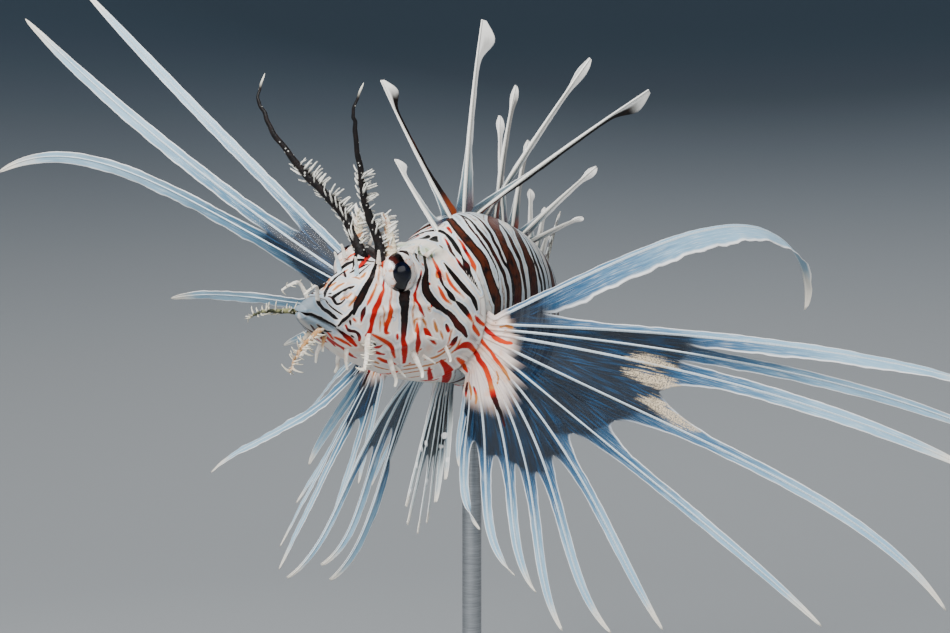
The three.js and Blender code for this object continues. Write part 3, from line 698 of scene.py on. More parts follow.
CHEEK_STRIPES = (
    Stripe("RMMMR", ((8.1, 104, 0.7), (8.7, 111, 0.7), (9.7, 112, 0.7), (11.1, 111, 0.7), (12.1, 116, 1),
        (12.8, 125, 0.8))),
    Stripe("UU", ((10.1, 121, 0.5), (11.1, 124, 0.5))),
    Stripe("MMRR", ((6.4, 122, 0.9), (8.4, 127, 1), (10.6, 132, 1), (13.3, 136, 0.8))),
    Stripe("OOO", ((7.6, 142, 0.7), (9.7, 140, 0.8), (12.4, 141, 0.6))),
    Stripe("RRR", ((7.7, 156, 0.7), (10.6, 157, 1), (13.4, 154, 0.6))),
    Stripe("OO", ((11.4, 158, 0.6), (15.3, 156, 0.6))),
    Stripe("MMR", ((1.8, 150, 0.7), (4.9, 172, 1), (7.6, 176, 0.9), (10.1, 178, 0.6))),
    Stripe("BRR", ((3.7, 148, 0.6), (6.2, 156, 1), (8.4, 161, 0.9), (10.8, 166, 0.7))),
    Stripe("UU", ((2.4, 134, 0.6), (4.5, 142, 0.7), (5.9, 136, 0.5))),
    Stripe("MM", ((4.9, 169, 0.7), (7.7, 180, 0.8))),
    Stripe("OO", ((5.5, 142, 0.5), (8.1, 150, 0.6))),
    Stripe("RR", ((13.4, 160, 0.7), (17, 158, 0.6))),
    Stripe("ORR", ((21.5, 142, 0.8), (23.7, 144, 1), (25.7, 144, 1), (27.4, 144, 0.5))),
    Stripe("RRR", ((18.8, 134, 0.7), (20.3, 134, 0.9), (22.2, 134, 0.6))),
    Stripe("RR", ((18, 126, 0.6), (19.3, 125, 0.9), (19.8, 122, 0.5))),
    Stripe("OORO", ((15.5, 108, 0.6), (17.6, 112, 0.8), (20.2, 117, 1), (22.2, 121, 1), (23.9, 128, 0.9),
        (25.5, 135, 0.6))),
    Stripe("MM", ((17.1, 121, 0.6), (18, 123, 0.5))),
    Stripe("TTT", ((23.5, 160, 0.5), (25.5, 160, 0.6), (27.9, 158, 0.5))),
    Stripe("OOO", ((29.4, 175, 0.7), (30.6, 180, 0.9), (30.6, -173, 0.7)), right=True),
    Stripe("TT", ((20, 150, 0.5), (23.4, 152, 0.6))),
    Stripe("TTT", ((30.1, 152, 0.5), (33.3, 141, 0.5), (36.5, 132, 0.5), (39.6, 124, 0.5))),
    Stripe("TTT", ((31.9, 159, 0.5), (34.3, 147, 0.5), (38.1, 138, 0.5))),
    Stripe("TTT", ((33.9, 128, 0.5), (36.5, 122, 0.6), (38.3, 115, 0.5), (40, 107, 0.5))),
    Stripe("TTT", ((40.2, 117, 0.5), (41, 111, 0.5), (41.3, 104, 0.5))),
    Stripe("OT", ((36.1, 117, 0.5), (38, 110, 0.5))),
    Stripe("TT", ((29.9, 143, 0.5), (33.3, 133, 0.5))),
    Stripe("RRR", ((36.8, 136, 0.7), (38.8, 144, 1.1), (43.5, 158, 1.7))),
    Stripe("RR", ((41.2, 162, 0.8), (44.7, 162, 1), (45.5, 154, 0.8))),
    Stripe("RRRR", ((38.6, 126, 1.3), (41.3, 132, 1.7), (45.2, 142, 2.5), (49.2, 156, 2.3),
        (54.1, 175, 1.3))),
    Stripe("OO", ((43.2, 122, 0.6), (48.9, 132, 1), (53.4, 142, 1))),
    Stripe("RR", ((56.4, 165, 0.8), (62.7, 173, 1), (59.1, 159, 0.8))),
    Stripe("TT", ((36.3, 162, 0.5), (37.6, 152, 0.5))),
)
BREAST_STRIPES = (
    Stripe("RRRRO", ((40.8, 114, 1), (41.7, 111.5, 1.1), (42.9, 109.5, 1.7), (45, 111, 1.6), (48, 117, 1.4))),
    Stripe("RRO", ((44.5, 88, 0.7), (45.7, 91.5, 1.1), (48.3, 97, 1))),
    Stripe("ROO", ((44.2, 93, 0.7), (45, 97, 1.1), (47.6, 104, 1))),
    Stripe("OOR", ((42.8, 122, 0.6), (45.4, 127, 1), (50, 135, 0.8))),
)
FIN_STRIPES = (
    Stripe("RRRROOTMUUM", ((7.6, -2, 1.4), (7.5, -1.5, 1.4), (8.2, 0.8, 1.3), (8.1, 2.8, 1.3), (8.3, 5, 1.2),
        (8.6, 7.3, 1.2), (8.8, 9.5, 1.5), (8.8, 12.5, 1.2), (8.7, 15, 0.9), (8.7, 18, 0.5))),
    Stripe("RRROOO", ((2.1, -2.4, 0.9), (2.3, -2, 1.1), (2.7, 0, 1.1), (3.4, 1.8, 1.1), (3.6, 3.5, 1.2),
        (3.6, 5, 1.1), (3.5, 6.4, 0.9))),
    Stripe("OOOOTT", ((4.2, -2.4, 0.9), (4.5, -2, 1.1), (5.1, -0.3, 1), (5.3, 1.3, 0.8), (5.4, 2.8, 0.8),
        (5.7, 4.5, 1), (5.8, 6.3, 0.8), (5.9, 7.8, 0.9), (6, 9, 0.9), (6.2, 10.5, 0.6))),
    Stripe("OOR", ((11, -2.4, 0.9), (11.5, -1.7, 1), (12, -0.5, 0.6))),
    Stripe("MTT", ((10.5, 4.8, 0.4), (10.3, 7.3, 0.7), (10.4, 9.3, 0.4))),
    Stripe("MMT", ((12, 2.3, 0.5), (12, 4.3, 0.7), (11.8, 6, 0.4))),
    Stripe("UTT", ((0.6, 0.5, 0.3), (1.4, 2, 0.4), (1.9, 3.5, 0.3))),
    Stripe("TTT", ((7.8, 8.5, 0.6), (7.2, 7.5, 0.5), (6.9, 6, 0.3))),
    Stripe("TTT", ((11.2, 3, 0.3), (10.8, 5.5, 0.5), (10.8, 7.8, 0.3))),
    Stripe("TT", ((1.2, 3, 0.4), (1.3, 4.3, 0.9), (1.5, 5.5, 0.4))),
)
SAND_PATCHES = (
    Stripe("T", ((2.9, 34, 0.6), (2.8, 38.5, 2.2), (2.8, 42, 2.4), (2.9, 46.5, 1))),
    Stripe("T", ((3.3, 34.5, 1), (3.3, 39.5, 3), (3.3, 45, 3.2), (3.35, 52, 1))),
    Stripe("T", ((3.75, 39.5, 1), (3.75, 44, 2.8), (3.85, 49.5, 2.8), (3.9, 57, 0.8))),
    Stripe("T", ((4.65, 42, 1), (4.75, 46, 2), (4.8, 50, 1.7), (4.9, 57, 0.7))),
)
NAPE_STRIPES = (
    Stripe("UUU", ((37.1, 12, 0.5), (35.8, 22, 1.1), (35.3, 28, 0.9))),
    Stripe("OOMMU", ((35.4, 30, 0.7), (35.3, 38, 1), (35.1, 46, 1.1), (34.9, 53, 1.1), (35.1, 59, 1))),
    Stripe("BBU", ((35.1, 59, 0.8), (36, 65, 1.2), (37, 70, 1.5), (38.3, 74, 0.7)), 0.5),
    Stripe("TOO", ((34.1, 50, 1.3), (34.8, 43, 0.4))),
    Stripe("OOOT", ((33.4, 60, 0.7), (34.1, 66, 1.1), (35.4, 72, 0.8), (37, 76, 0.5))),
    Stripe("UUUOT", ((38.3, 74, 0.7), (39.8, 78, 1.4), (41.5, 83, 1.5), (42.7, 87, 1.1),
        (44.2, 92, 0.6)), 0.7),
    Stripe("BBBBBBB", ((37.6, 38, 0.7), (38.1, 46, 1.3), (39, 54, 1.6), (40, 60, 1.6), (41.5, 67, 1.6),
        (42.8, 72, 1.4), (44, 78, 1.7), (44.9, 84, 1.2)), 0.35),
    Stripe("TOOT", ((37, 48, 0.5), (37.1, 56, 0.9), (38.3, 64, 0.8), (40.5, 72, 0.4))),
    Stripe("TT", ((36, 44, 0.3), (36, 54, 0.4))),
    Stripe("BB", ((43, 4, 1.7), (42.3, 4, 2.1), (41.8, 10, 1))),
    Stripe("BBBB", ((45, 4, 0.7), (45, 2, 1), (44.7, 10, 1))),
    Stripe("BBBUB", ((44.9, 6, 0.7), (44.4, 16, 1.1), (44, 24, 1.2), (43.7, 32, 1.3), (43.5, 40, 0.7))),
    Stripe("BMBBB", ((43.2, 40, 0.9), (43.3, 47, 1.7), (43.3, 53, 1.1), (44, 60, 0.6), (45, 68, 0.5))),
    Stripe("OMMU", ((43.7, 12, 0.4), (42.7, 22, 0.8), (41.8, 29, 0.9), (41.7, 36, 0.7))),
    Stripe("RMMUB", ((41.7, 37, 0.7), (41.8, 44, 1.1), (42.2, 50, 0.7), (43.3, 60, 0.4), (45.7, 72, 0.3))),
    Stripe("OMOOU", ((46.5, 6, 1), (45.5, 15, 0.6)), 0.6),
    Stripe("TOMOOTT", ((45.5, 22, 0.4), (45.4, 31, 0.8), (45.2, 38, 1), (45.5, 46, 1), (46, 54, 1.3),
        (45.7, 58, 1.1), (45.7, 64, 0.6))),
    Stripe("UU", ((41, 16, 0.5), (40.5, 22, 0.7))),
    Stripe("UU", ((44, 64, 0.3), (46, 74, 0.4))),
)
FLANK_STRIPES = (
    Stripe("UUUUUUBBBBBBMMMM", ((49.1, 0, 2.4), (47.7, 11, 2.6), (47, 22, 2.8), (47, 31, 2.9),
        (47.4, 40, 2.8), (48.2, 48, 3.2), (49.2, 56, 3.1), (49.7, 63, 3.2), (50.6, 70, 3.3), (51.7, 76, 3.6),
        (53.3, 82, 3.8), (54.6, 87, 3.4), (55.5, 107, 3.2), (55.6, 132, 2.8), (54.4, 152, 2.1),
        (52.4, 172, 1.5)), 0.95),
    Stripe("MMMMMMUUUUMMMM", ((51.8, 2, 0.6), (51.4, 6, 0.7), (50.1, 17, 0.6), (49.6, 26, 0.7),
        (49.9, 36, 0.7), (50.4, 44, 0.8), (51.1, 50, 0.7), (52, 56, 0.7), (53.1, 62, 0.6), (54.1, 69, 0.5),
        (55, 89, 0.5), (55.1, 132, 0.4), (54, 152, 0.3), (52, 172, 0.2)), 0.2),
    Stripe("UUUUUUMBBUUUMMMM", ((51.7, 2, 0.9), (51.2, 23, 1), (51.1, 30, 1.2), (51.6, 38, 1.5),
        (52.4, 45, 1.6), (53.1, 52, 1.6), (54.3, 58, 1.5), (55.6, 64, 1.6), (56.8, 68, 1.6), (57.8, 74, 1.5),
        (58.8, 78, 1.7), (59.5, 86, 1.6), (60.4, 106, 1.5), (60.5, 132, 1.2), (59.3, 152, 1),
        (57.3, 172, 0.7)), 0.5),
    Stripe("MMUUUUUUUUUUMMMM", ((54.6, 2, 0.9), (54.6, 23, 1.1), (54.6, 30, 1.4), (54.9, 37, 1.4),
        (54.9, 44, 1.4), (55.8, 50, 1.4), (56.3, 55, 1.4), (57.3, 60, 1.2), (59, 64, 1), (60.3, 70, 0.8),
        (61.3, 77, 1), (61.8, 84, 0.8), (62.7, 104, 0.8), (62.8, 132, 0.7), (61.6, 152, 0.5),
        (59.6, 172, 0.4)), 0.3),
    Stripe("MMMUUUUUUUUMMMMM", ((65.1, 2, 3), (64.5, 8, 3.4), (59, 26, 4.7), (58.6, 35, 4.3), (58.8, 42, 4.1),
        (59.1, 49, 3.9), (60.3, 55, 4.3), (61.2, 60, 4.6), (62.5, 66, 4.5), (63.3, 70, 4.7), (64, 76, 4.4),
        (64.3, 83, 4.3), (65.2, 103, 4), (65.3, 132, 3.4), (64.1, 152, 2.6), (62.1, 172, 2)), 1),
    Stripe("BBBBUUUUUUMMMM", ((61.2, 2, 1.3), (63, 31, 1.5), (63.5, 39, 2.3), (63.8, 45, 2.2),
        (64.8, 51, 2.2), (65.9, 56, 1.9), (66.4, 62, 1.9), (67.2, 68, 1.8), (67.7, 72, 1.6), (68.5, 79, 1.5),
        (69.4, 99, 1.4), (69.5, 132, 1.2), (68.3, 152, 1), (66.3, 172, 0.6)), 0.5),
    Stripe("BBBUUUUUMMMM", ((72.1, 2, 2.9), (70.1, 28, 3.3), (69.4, 36, 3.9), (70.1, 46, 3.9),
        (70.7, 52, 4.1), (71.7, 57, 4.3), (72.2, 64, 4.5), (72.6, 70, 4.5), (73.5, 90, 4.2), (73.6, 132, 3.6),
        (72.4, 152, 2.8), (70.4, 172, 2)), 0.7),
    Stripe("UUBBBBBMMMM", ((71.1, 2, 0.9), (73.4, 36, 1), (73.9, 44, 1.4), (74.4, 51, 1.5), (75.4, 56, 1.5),
        (76.1, 62, 1.5), (77.1, 68, 1.4), (78, 88, 1.3), (78.1, 132, 1.1), (76.9, 152, 0.8),
        (74.9, 172, 0.6)), 0.3),
    Stripe("BBBBBBBMMMM", ((72.1, 2, 0.8), (75.7, 38, 0.9), (76.5, 44, 1.4), (77.2, 51, 1.4), (78.4, 56, 1.6),
        (79.1, 62, 1.6), (79.4, 67, 1.5), (80.3, 87, 1.4), (80.4, 132, 1.2), (79.2, 152, 0.9),
        (77.2, 172, 0.6)), 0.2),
    Stripe("BBBBBMMMM", ((79.8, 2, 0.8), (80.7, 39, 0.9), (80.8, 46, 1), (81.8, 53, 1), (82.4, 61, 1),
        (83.3, 81, 1), (83.4, 132, 0.9), (82.2, 152, 0.7), (80.2, 172, 0.5))),
)


FAR = 9.0  # millimetres, given for points that no stripe or ridge is near
SEARCH = 4.0  # millimetres round a path in which points are measured


def nearest_stripes(points: Array, stripes: Sequence[Stripe],
                    place: Callable[[Array, Array], Array]) -> dict[str, Array]:
    """Work out what a material needs to paint stripes.

    Args:
        points: The mesh's points in millimetres.
        stripes: The stripes.
        place: Gives the points in space for the first two numbers of a stripe's points.

    Returns:
        For each point the distance to the nearest stripe's edge in millimetres, negative inside it, its
        tone, and how brown its middle is.
    """
    edge = np.full(len(points), FAR)
    tone, core = np.zeros(len(points)), np.zeros(len(points))
    for stripe in stripes:
        line = smooth_path(stripe.path, 14 * len(stripe.path))
        along = np.linspace(0, 1, len(line))
        spots = place(line[:, 0], line[:, 1])
        half = line[:, 2] / 2 * (0.6 + 0.4 * np.sin(math.pi * np.clip(along, 0.02, 0.98)) ** 0.5)
        hues = np.interp(along, np.linspace(0, 1, len(stripe.tones)), [TONES[t].value for t in stripe.tones])
        near = np.flatnonzero(((points > spots.min(0) - SEARCH) & (points < spots.max(0) + SEARCH)).all(1))
        if len(near) == 0:
            continue
        apart = points[near, None].astype(np.float32) - spots[None].astype(np.float32)
        gaps = np.linalg.norm(apart, axis=2) - half
        nearest = gaps.argmin(1)
        reach = gaps[np.arange(len(near)), nearest]
        better = reach < edge[near]
        edge[near[better]] = reach[better]
        tone[near[better]] = hues[nearest[better]]
        core[near[better]] = stripe.core
    return {"stripe_edge": edge, "stripe_tone": tone, "stripe_core": core}


@dataclass
class Markings:
    """All stripes of the skin, and how they are turned into numbers that the mesh carries."""

    drawn: tuple[Stripe, ...] = (
        EYE_STRIPES + SNOUT_STRIPES + CHEEK_STRIPES + NAPE_STRIPES + FLANK_STRIPES + BREAST_STRIPES)
    bars_from: float = 85.0
    bars_to: float = 137.0

    def bars(self) -> list[Stripe]:
        """Return the bars of the rear flank: a wide one and a hair line, over and over."""
        made = []
        x, n = self.bars_from, 0
        while x < self.bars_to:
            wide = n % 2 == 0
            shrink = float(lerp(1.0, 0.6, smooth(x, 88, 130)))
            width = (4.6 if wide else 1.7) * shrink
            made.append(self.bar(x + 0.4 * float(ripple(0.13 * n, 2.0)), width, 0.9 if wide else 0.0))
            x += (4.9 if wide else 4.3) * shrink
            n += 1
        return made

    def bar(self, x: float, width: float, core: float) -> Stripe:
        """Return one bar of the flank, which narrows and reddens under the belly.

        Args:
            x: Millimetres from the snout.
            width: Its width on the back in millimetres.
            core: How brown its middle is.

        Returns:
            The bar.
        """
        path = []
        for angle in range(0, 177, 22):
            drift = 3.0 * math.sin(math.radians(angle)) * float(1 - smooth(x, 88, 125))
            drift += 0.5 * float(ripple(angle / 55, x))
            thinned = 1 - 0.45 * float(smooth(angle, 95, 170)) + 0.13 * float(ripple(angle / 30, x))
            path.append((x + drift, angle, width * thinned))
        return Stripe("UUUMMM" if core else "UUMM", tuple(path), core)

    def measure(self, body: BodyShape, points: Array) -> dict[str, Array]:
        """Return the stripes' numbers at skin points of the straight fish, as nearest_stripes gives them.

        Args:
            body: The body's shape.
            points: The skin's points in millimetres.

        Returns:
            For each point its numbers, by name.
        """
        mirrored = points.copy()
        right = mirrored[:, 1] > 0
        mirrored[right, 0] += 0.35 * ripple(mirrored[right, 2] / 17, 1.0)
        mirrored[right, 2] += 0.35 * ripple(mirrored[right, 0] / 13, 2.0)
        mirrored[:, 1] = np.abs(mirrored[:, 1])

        def place(mm: Array, degrees: Array) -> Array:
            """Return the skin points at places of a stripe."""
            return body.straight_skin(mm / body.length, np.radians(degrees))

        both = [stripe for stripe in (*self.drawn, *self.bars()) if not stripe.right]
        lone = [stripe for stripe in self.drawn if stripe.right]
        found, extra = nearest_stripes(mirrored, both, place), nearest_stripes(points, lone, place)
        nearer = extra["stripe_edge"] < found["stripe_edge"]
        return {key: np.where(nearer, extra[key], found[key]) for key in found}


# Finishes


@dataclass(frozen=True)
class SkinFinish:
    """Cream skin with dark and red stripes, satin as a varnished cast. Colours are 0xRRGGBB throughout."""

    cream: int = 0xF3E6D9
    shade: int = 0xA9B9C6
    blush: int = 0xE9B699
    white: int = 0xFAF8F4
    blue: int = 0x9CC0DC
    flank_tint: int = 0xB9C8C6
    line: int = 0x6A4436
    glow: int = 0xE08A50
    bright_core: int = 0x52220C
    rim: int = 0x0E090B
    nape: int = 0xBAC8A4
    lip: int = 0x5C7687
    belly: int = 0xE9DFD2
    scale_size: float = 1.15
    tones: tuple[tuple[float, int], ...] = (
        (Tone.BLACK.value, 0x020203),
        (Tone.UMBER.value, 0x100605),
        (Tone.MAROON.value, 0x420504),
        (Tone.RED.value, 0xB40602),
        (Tone.ORANGE.value, 0xD23A08),
        (Tone.TAN.value, 0xC07A3C),
    )

    def material(self) -> bpy.types.Material:
        """Return the skin's material, which reads the stripes' numbers from the mesh."""
        s = ShaderTree("lionfish skin")
        flank, belly = s.attribute("flank"), s.attribute("belly")
        fray = (s.noise(0.9, 2) - 0.5) * 0.22
        edge = s.attribute("stripe_edge") + fray
        inside = edge.step(0.09, -0.09)
        tone = s.attribute("stripe_tone") + (s.noise(2.2, 2) - 0.5) * 0.1
        blotch = s.noise(6.0, 4).step(0.42, 0.66)
        ground = s.mix(blotch * (0.4 + 0.4 * flank), self.cream, self.shade)
        ground = s.mix(s.noise(4.0, 3).step(0.5, 0.75) * (1 - flank) * 0.55, ground, self.blush)
        dark = 1 - tone.step(0.4, 0.6)
        ground = s.mix(flank * 0.35, ground, self.flank_tint)
        ground = s.mix(edge.ridge(0.32, 0.36) * 0.8, ground, self.white)
        ground = s.mix(edge.ridge(0.45, 0.42) * dark * 0.6, ground, self.blue)
        glow = edge.ridge(0.12, 0.24) * tone.step(0.5, 0.8) * 0.45
        ground = s.mix(glow, ground, self.glow)
        hair = (edge + (s.noise(1.6, 2) - 0.5) * 0.5).ridge(1.05, 0.26) * flank
        hair = hair * s.noise(3.0, 2).step(0.36, 0.5)
        ground = s.mix(hair * 0.8, ground, self.line)
        ink = s.ramp(tone, self.tones)
        core = s.attribute("stripe_core") * edge.step(-0.3, -0.7) * s.noise(2.5, 3).step(0.3, 0.55)
        ink = s.mix(core * (0.35 + 0.65 * flank), ink, self.bright_core)
        rim = edge.step(-0.42, -0.1) * dark * 0.85
        ink = s.mix(rim, ink, self.rim)
        colour = s.mix(inside, ground, ink)
        nape = s.attribute("nape") * s.noise(2.0, 4).step(0.3, 0.6)
        colour = s.mix(nape * 0.8, colour, self.nape)
        colour = s.mix(s.attribute("lips") * (1 - inside) * 0.85, colour, self.lip)
        colour = s.mix(belly * (1 - inside) * 0.5, colour, self.belly)
        scales = s.cells(self.scale_size) * (0.25 + 0.75 * flank)
        height = scales * 0.5 + s.noise(0.7, 4) * 0.35 + inside * 0.06
        return s.finish(
            Base_Color=colour,
            Roughness=0.42 + s.noise(3.0, 3) * 0.16,
            Coat_Weight=0.03 + inside * 0.02,
            Coat_Roughness=0.3,
            Specular_IOR_Level=0.2,
            Subsurface_Weight=0.06,
            Subsurface_Radius=(0.004, 0.002, 0.0015),
            Normal=s.bump(height, 0.16),
        )


@dataclass(frozen=True)
class EyeFinish:
    """A glass eye: black pupil with a blue sheen, on cream with a dark bar above and below."""

    white: int = 0xF3E6D9
    shade: int = 0xC9CCD2
    blotch: int = 0xC8743A
    bar: int = 0x060405
    bar_brown: int = 0x3A100A
    bar_half: float = 0.34
    pupil: int = 0x020306
    sheen: int = 0x060B20
    pupil_edge: float = 0.58

    def material(self) -> bpy.types.Material:
        """Return the eye's material, which reads the distances from the pupil's middle from the mesh."""
        s = ShaderTree("glass eye")
        reach, across, above = s.attribute("eye_reach"), s.attribute("eye_across"), s.attribute("eye_above")
        grain = (s.noise(0.6, 4) - 0.5) * 0.14
        white = s.mix(s.noise(1.6, 4).step(0.4, 0.65) * 0.7, self.white, self.shade)
        white = s.mix(s.noise(1.1, 3).step(0.56, 0.64) * 0.7, white, self.blotch)
        bar = (abs(across + grain) - self.bar_half).step(0.05, -0.05)
        brown = s.mix(across.step(-0.05, 0.2) * above.step(0.0, 0.3), self.bar, self.bar_brown)
        colour = s.mix(bar, white, brown)
        sheen = s.mix(s.noise(2.4, 2).step(0.35, 0.7), self.pupil, self.sheen)
        inside = (reach + grain * 0.15).step(self.pupil_edge, self.pupil_edge - 0.03)
        colour = s.mix(inside, colour, sheen)
        return s.finish(
            Base_Color=colour,
            Roughness=0.2,
            Coat_Weight=0.5,
            Coat_Roughness=0.05,
            Specular_IOR_Level=0.3,
        )


@dataclass(frozen=True)
class FinFinish:
    """A fin: pale rays in a clear smoky web, with ribbons that grow paler towards their tips."""

    name: str
    ray: int = 0xE2EDF3
    ray_middle: int = 0x86A8BC
    web: int = 0x031222
    web_light: int = 0x1D5480
    ribbon: int = 0x235F8A
    ribbon_end: int = 0x97C1DB
    edge: int = 0xFAFBFA
    tip: int = 0xF6EFE0
    sand: int = 0xD6C2A2
    base: int = 0xF0DFD2
    base_shade: int = 0xD8C6C4
    base_blush: int = 0xE3AE90
    clear: float = 0.3
    ribbon_clear: float = 0.3
    end_clear: float = 0.04
    strip: int = 0x0C0706
    strip_root: int = 0x7A3210
    dark: int = 0x2B1512
    dark_bands: float = 0.0
    dark_pitch: float = 9.0
    joint_rate: float = 7.0
    dots: float = 0.0
    striped: bool = False

    def material(self) -> bpy.types.Material:
        """Return the fin's material, which reads the places along and across the rays from the mesh."""
        s = ShaderTree(self.name)
        along, ray, web, free = (s.attribute(key) for key in ("along", "ray", "web", "free"))
        out, flesh, strip = s.attribute("out"), s.attribute("flesh"), s.attribute("strip")
        streak, fine = s.streaks(9.0, 0.55), s.streaks(5.0, 0.22)
        cloud = s.noise(6.0, 4, 0.6)
        length = s.attribute("length")
        joints = (length * self.joint_rate).sine()
        film = s.mix(streak.step(0.45, 0.75) * 0.75, self.web, self.web_light)
        ribbon = s.mix((free + (streak - 0.5) * 0.5).step(0.0, 0.6), self.ribbon, self.ribbon_end)
        ribbon = s.mix(fine.step(0.5, 0.75) * 0.5, ribbon, self.edge)
        sheet = s.mix(web, ribbon, film)
        rim = out.step(0.78, 0.95) * (1 - web)
        sheet = s.mix(rim, sheet, self.edge)
        middle = ray.step(0.86, 0.98) * 0.75 + joints.step(0.6, 1.0) * 0.15
        bone = s.mix(middle, self.ray, self.ray_middle)
        colour = s.mix(ray.step(0.3, 0.55), sheet, bone)
        tipped = (along + (cloud - 0.5) * 0.1).step(0.86, 0.97)
        colour = s.mix(tipped, colour, self.tip)
        marks = strip * (1 - tipped)
        strip_colour = s.mix(streak.step(0.55, 0.75) * 0.5, self.strip, self.dark)
        colour = s.mix(marks, colour, s.mix(along.step(0.2, 0.06), strip_colour, self.strip_root))
        if self.dark_bands:
            wave = (length * (6.283 / self.dark_pitch) + s.attribute("shift")).sine()
            bands = (wave + (cloud - 0.5) * 2.4).step(-0.1, 0.35) * self.dark_bands
            bands = bands * along.step(0.93, 0.8)
            colour = s.mix(bands, colour, self.dark)
            marks = marks.at_least(bands)
        if self.dots:
            dot_mask = s.cells(3.4).step(0.3, 0.2) * (1 - tipped) * self.dots
            colour = s.mix(dot_mask, colour, self.edge)
            marks = marks.at_least(dot_mask)
        if self.striped:
            feather = (streak - 0.5) * 4.5 + (fine - 0.5) * 3.0 + (cloud - 0.5) * 1.5
            sand = (s.attribute("sand_edge") + feather).step(0.5, -0.6)
            sand = sand * (0.25 + 0.75 * s.noise(0.3, 4).step(0.38, 0.56))
            colour = s.mix(sand, colour, self.sand)
            skin = s.mix(streak.step(0.45, 0.7), self.base, self.base_shade)
            skin = s.mix(s.noise(3.0, 3).step(0.45, 0.7) * 0.6, skin, self.base_blush)
            colour = s.mix(flesh, colour, skin)
            edge = s.attribute("stripe_edge") + (s.noise(0.9, 3) - 0.5) * 0.3
            ink = s.ramp(s.attribute("stripe_tone"), SkinFinish.tones)
            painted = edge.step(0.14, -0.1)
            colour = s.mix(painted, colour, ink)
            marks = marks.at_least(sand).at_least(painted)
        solid = ray.step(0.3, 0.55)
        for covered in (marks, flesh, rim * 0.85, tipped):
            solid = solid.at_least(covered)
        ribbon_thin = self.ribbon_clear + free.step(0.0, 0.55) * (self.end_clear - self.ribbon_clear)
        thin = web * self.clear + (1 - web) * ribbon_thin
        thin = thin * (1 - streak.step(0.45, 0.8) * 0.45)
        height = joints * ray * 0.12 + ray * 0.4 + streak * 0.3
        return s.finish(
            Base_Color=colour,
            Alpha=1 - thin * (1 - solid),
            Roughness=0.34 + cloud * 0.15,
            Coat_Weight=0.04 + ray * 0.06,
            Specular_IOR_Level=0.25,
            Normal=s.bump(height, 0.12),
        )


@dataclass(frozen=True)
class TentacleFinish:
    """Dark, pale-tipped feelers with lighter fringes."""

    name: str
    stalk: int = 0x17100F
    mottle: int = 0x5B4A38
    fringe: int = 0xD8D2BE
    tip: int = 0xEDE8D8
    tip_from: float = 0.8
    mottled: float = 0.4
    specks: float = 0.0
    pale_from: float = 0.12

    def material(self) -> bpy.types.Material:
        """Return the material, which reads the place along the feeler from the mesh."""
        s = ShaderTree(self.name)
        along, fringe = s.attribute("along"), s.attribute("fringe")
        patches = s.noise(1.5, 4).step(0.46, 0.62)
        colour = s.mix(patches * self.mottled, self.stalk, self.mottle)
        colour = s.mix(along.step(self.tip_from, 0.97), colour, self.tip)
        pale = fringe.step(self.pale_from, self.pale_from + 0.38)
        pale = pale * (0.7 + 0.3 * s.noise(0.8, 3).step(0.4, 0.5))
        colour = s.mix(pale, colour, self.fringe)
        specks = s.cells(1.3).step(0.22, 0.14) * self.specks
        colour = s.mix(specks, colour, self.fringe)
        return s.finish(
            Base_Color=colour,
            Roughness=0.5 + patches * 0.15,
            Specular_IOR_Level=0.25,
            Coat_Weight=0.04,
            Coat_Roughness=0.3,
            Normal=s.bump(s.noise(0.5, 4), 0.12),
        )


@dataclass(frozen=True)
class PaintedFinish:
    """Satin black lacquer with a faint orange peel and cloudy wear."""

    colour: int = 0x17181A
    worn: int = 0x2A2B2E

    def material(self) -> bpy.types.Material:
        """Return the stand's base finish."""
        s = ShaderTree("satin black lacquer")
        peel = s.noise(0.8, 4)
        wear = s.noise(18.0, 5, 0.6).step(0.4, 0.7)
        return s.finish(
            Base_Color=s.mix(wear * 0.6 + peel.step(0.6, 0.8) * 0.1, self.colour, self.worn),
            Roughness=0.3 + wear * 0.12 + peel * 0.08,
            Coat_Weight=0.3,
            Coat_Roughness=0.2,
            Normal=s.bump(peel, 0.03),
        )


@dataclass(frozen=True)
class SteelFinish:
    """Brushed stainless steel, brushed round the axis."""

    light: int = 0xC4C6C8
    dark: int = 0x8B8E92

    def material(self) -> bpy.types.Material:
        """Return the rod's and collar's finish."""
        s = ShaderTree("brushed steel")
        brush = s.noise(6.0, 5, 0.7, (1, 1, 60))
        return s.finish(
            Base_Color=s.mix(brush.step(0.3, 0.7), self.dark, self.light),
            Metallic=1.0,
            Roughness=0.26 + brush * 0.16,
            Normal=s.bump(brush, 0.01),
        )


# Skin


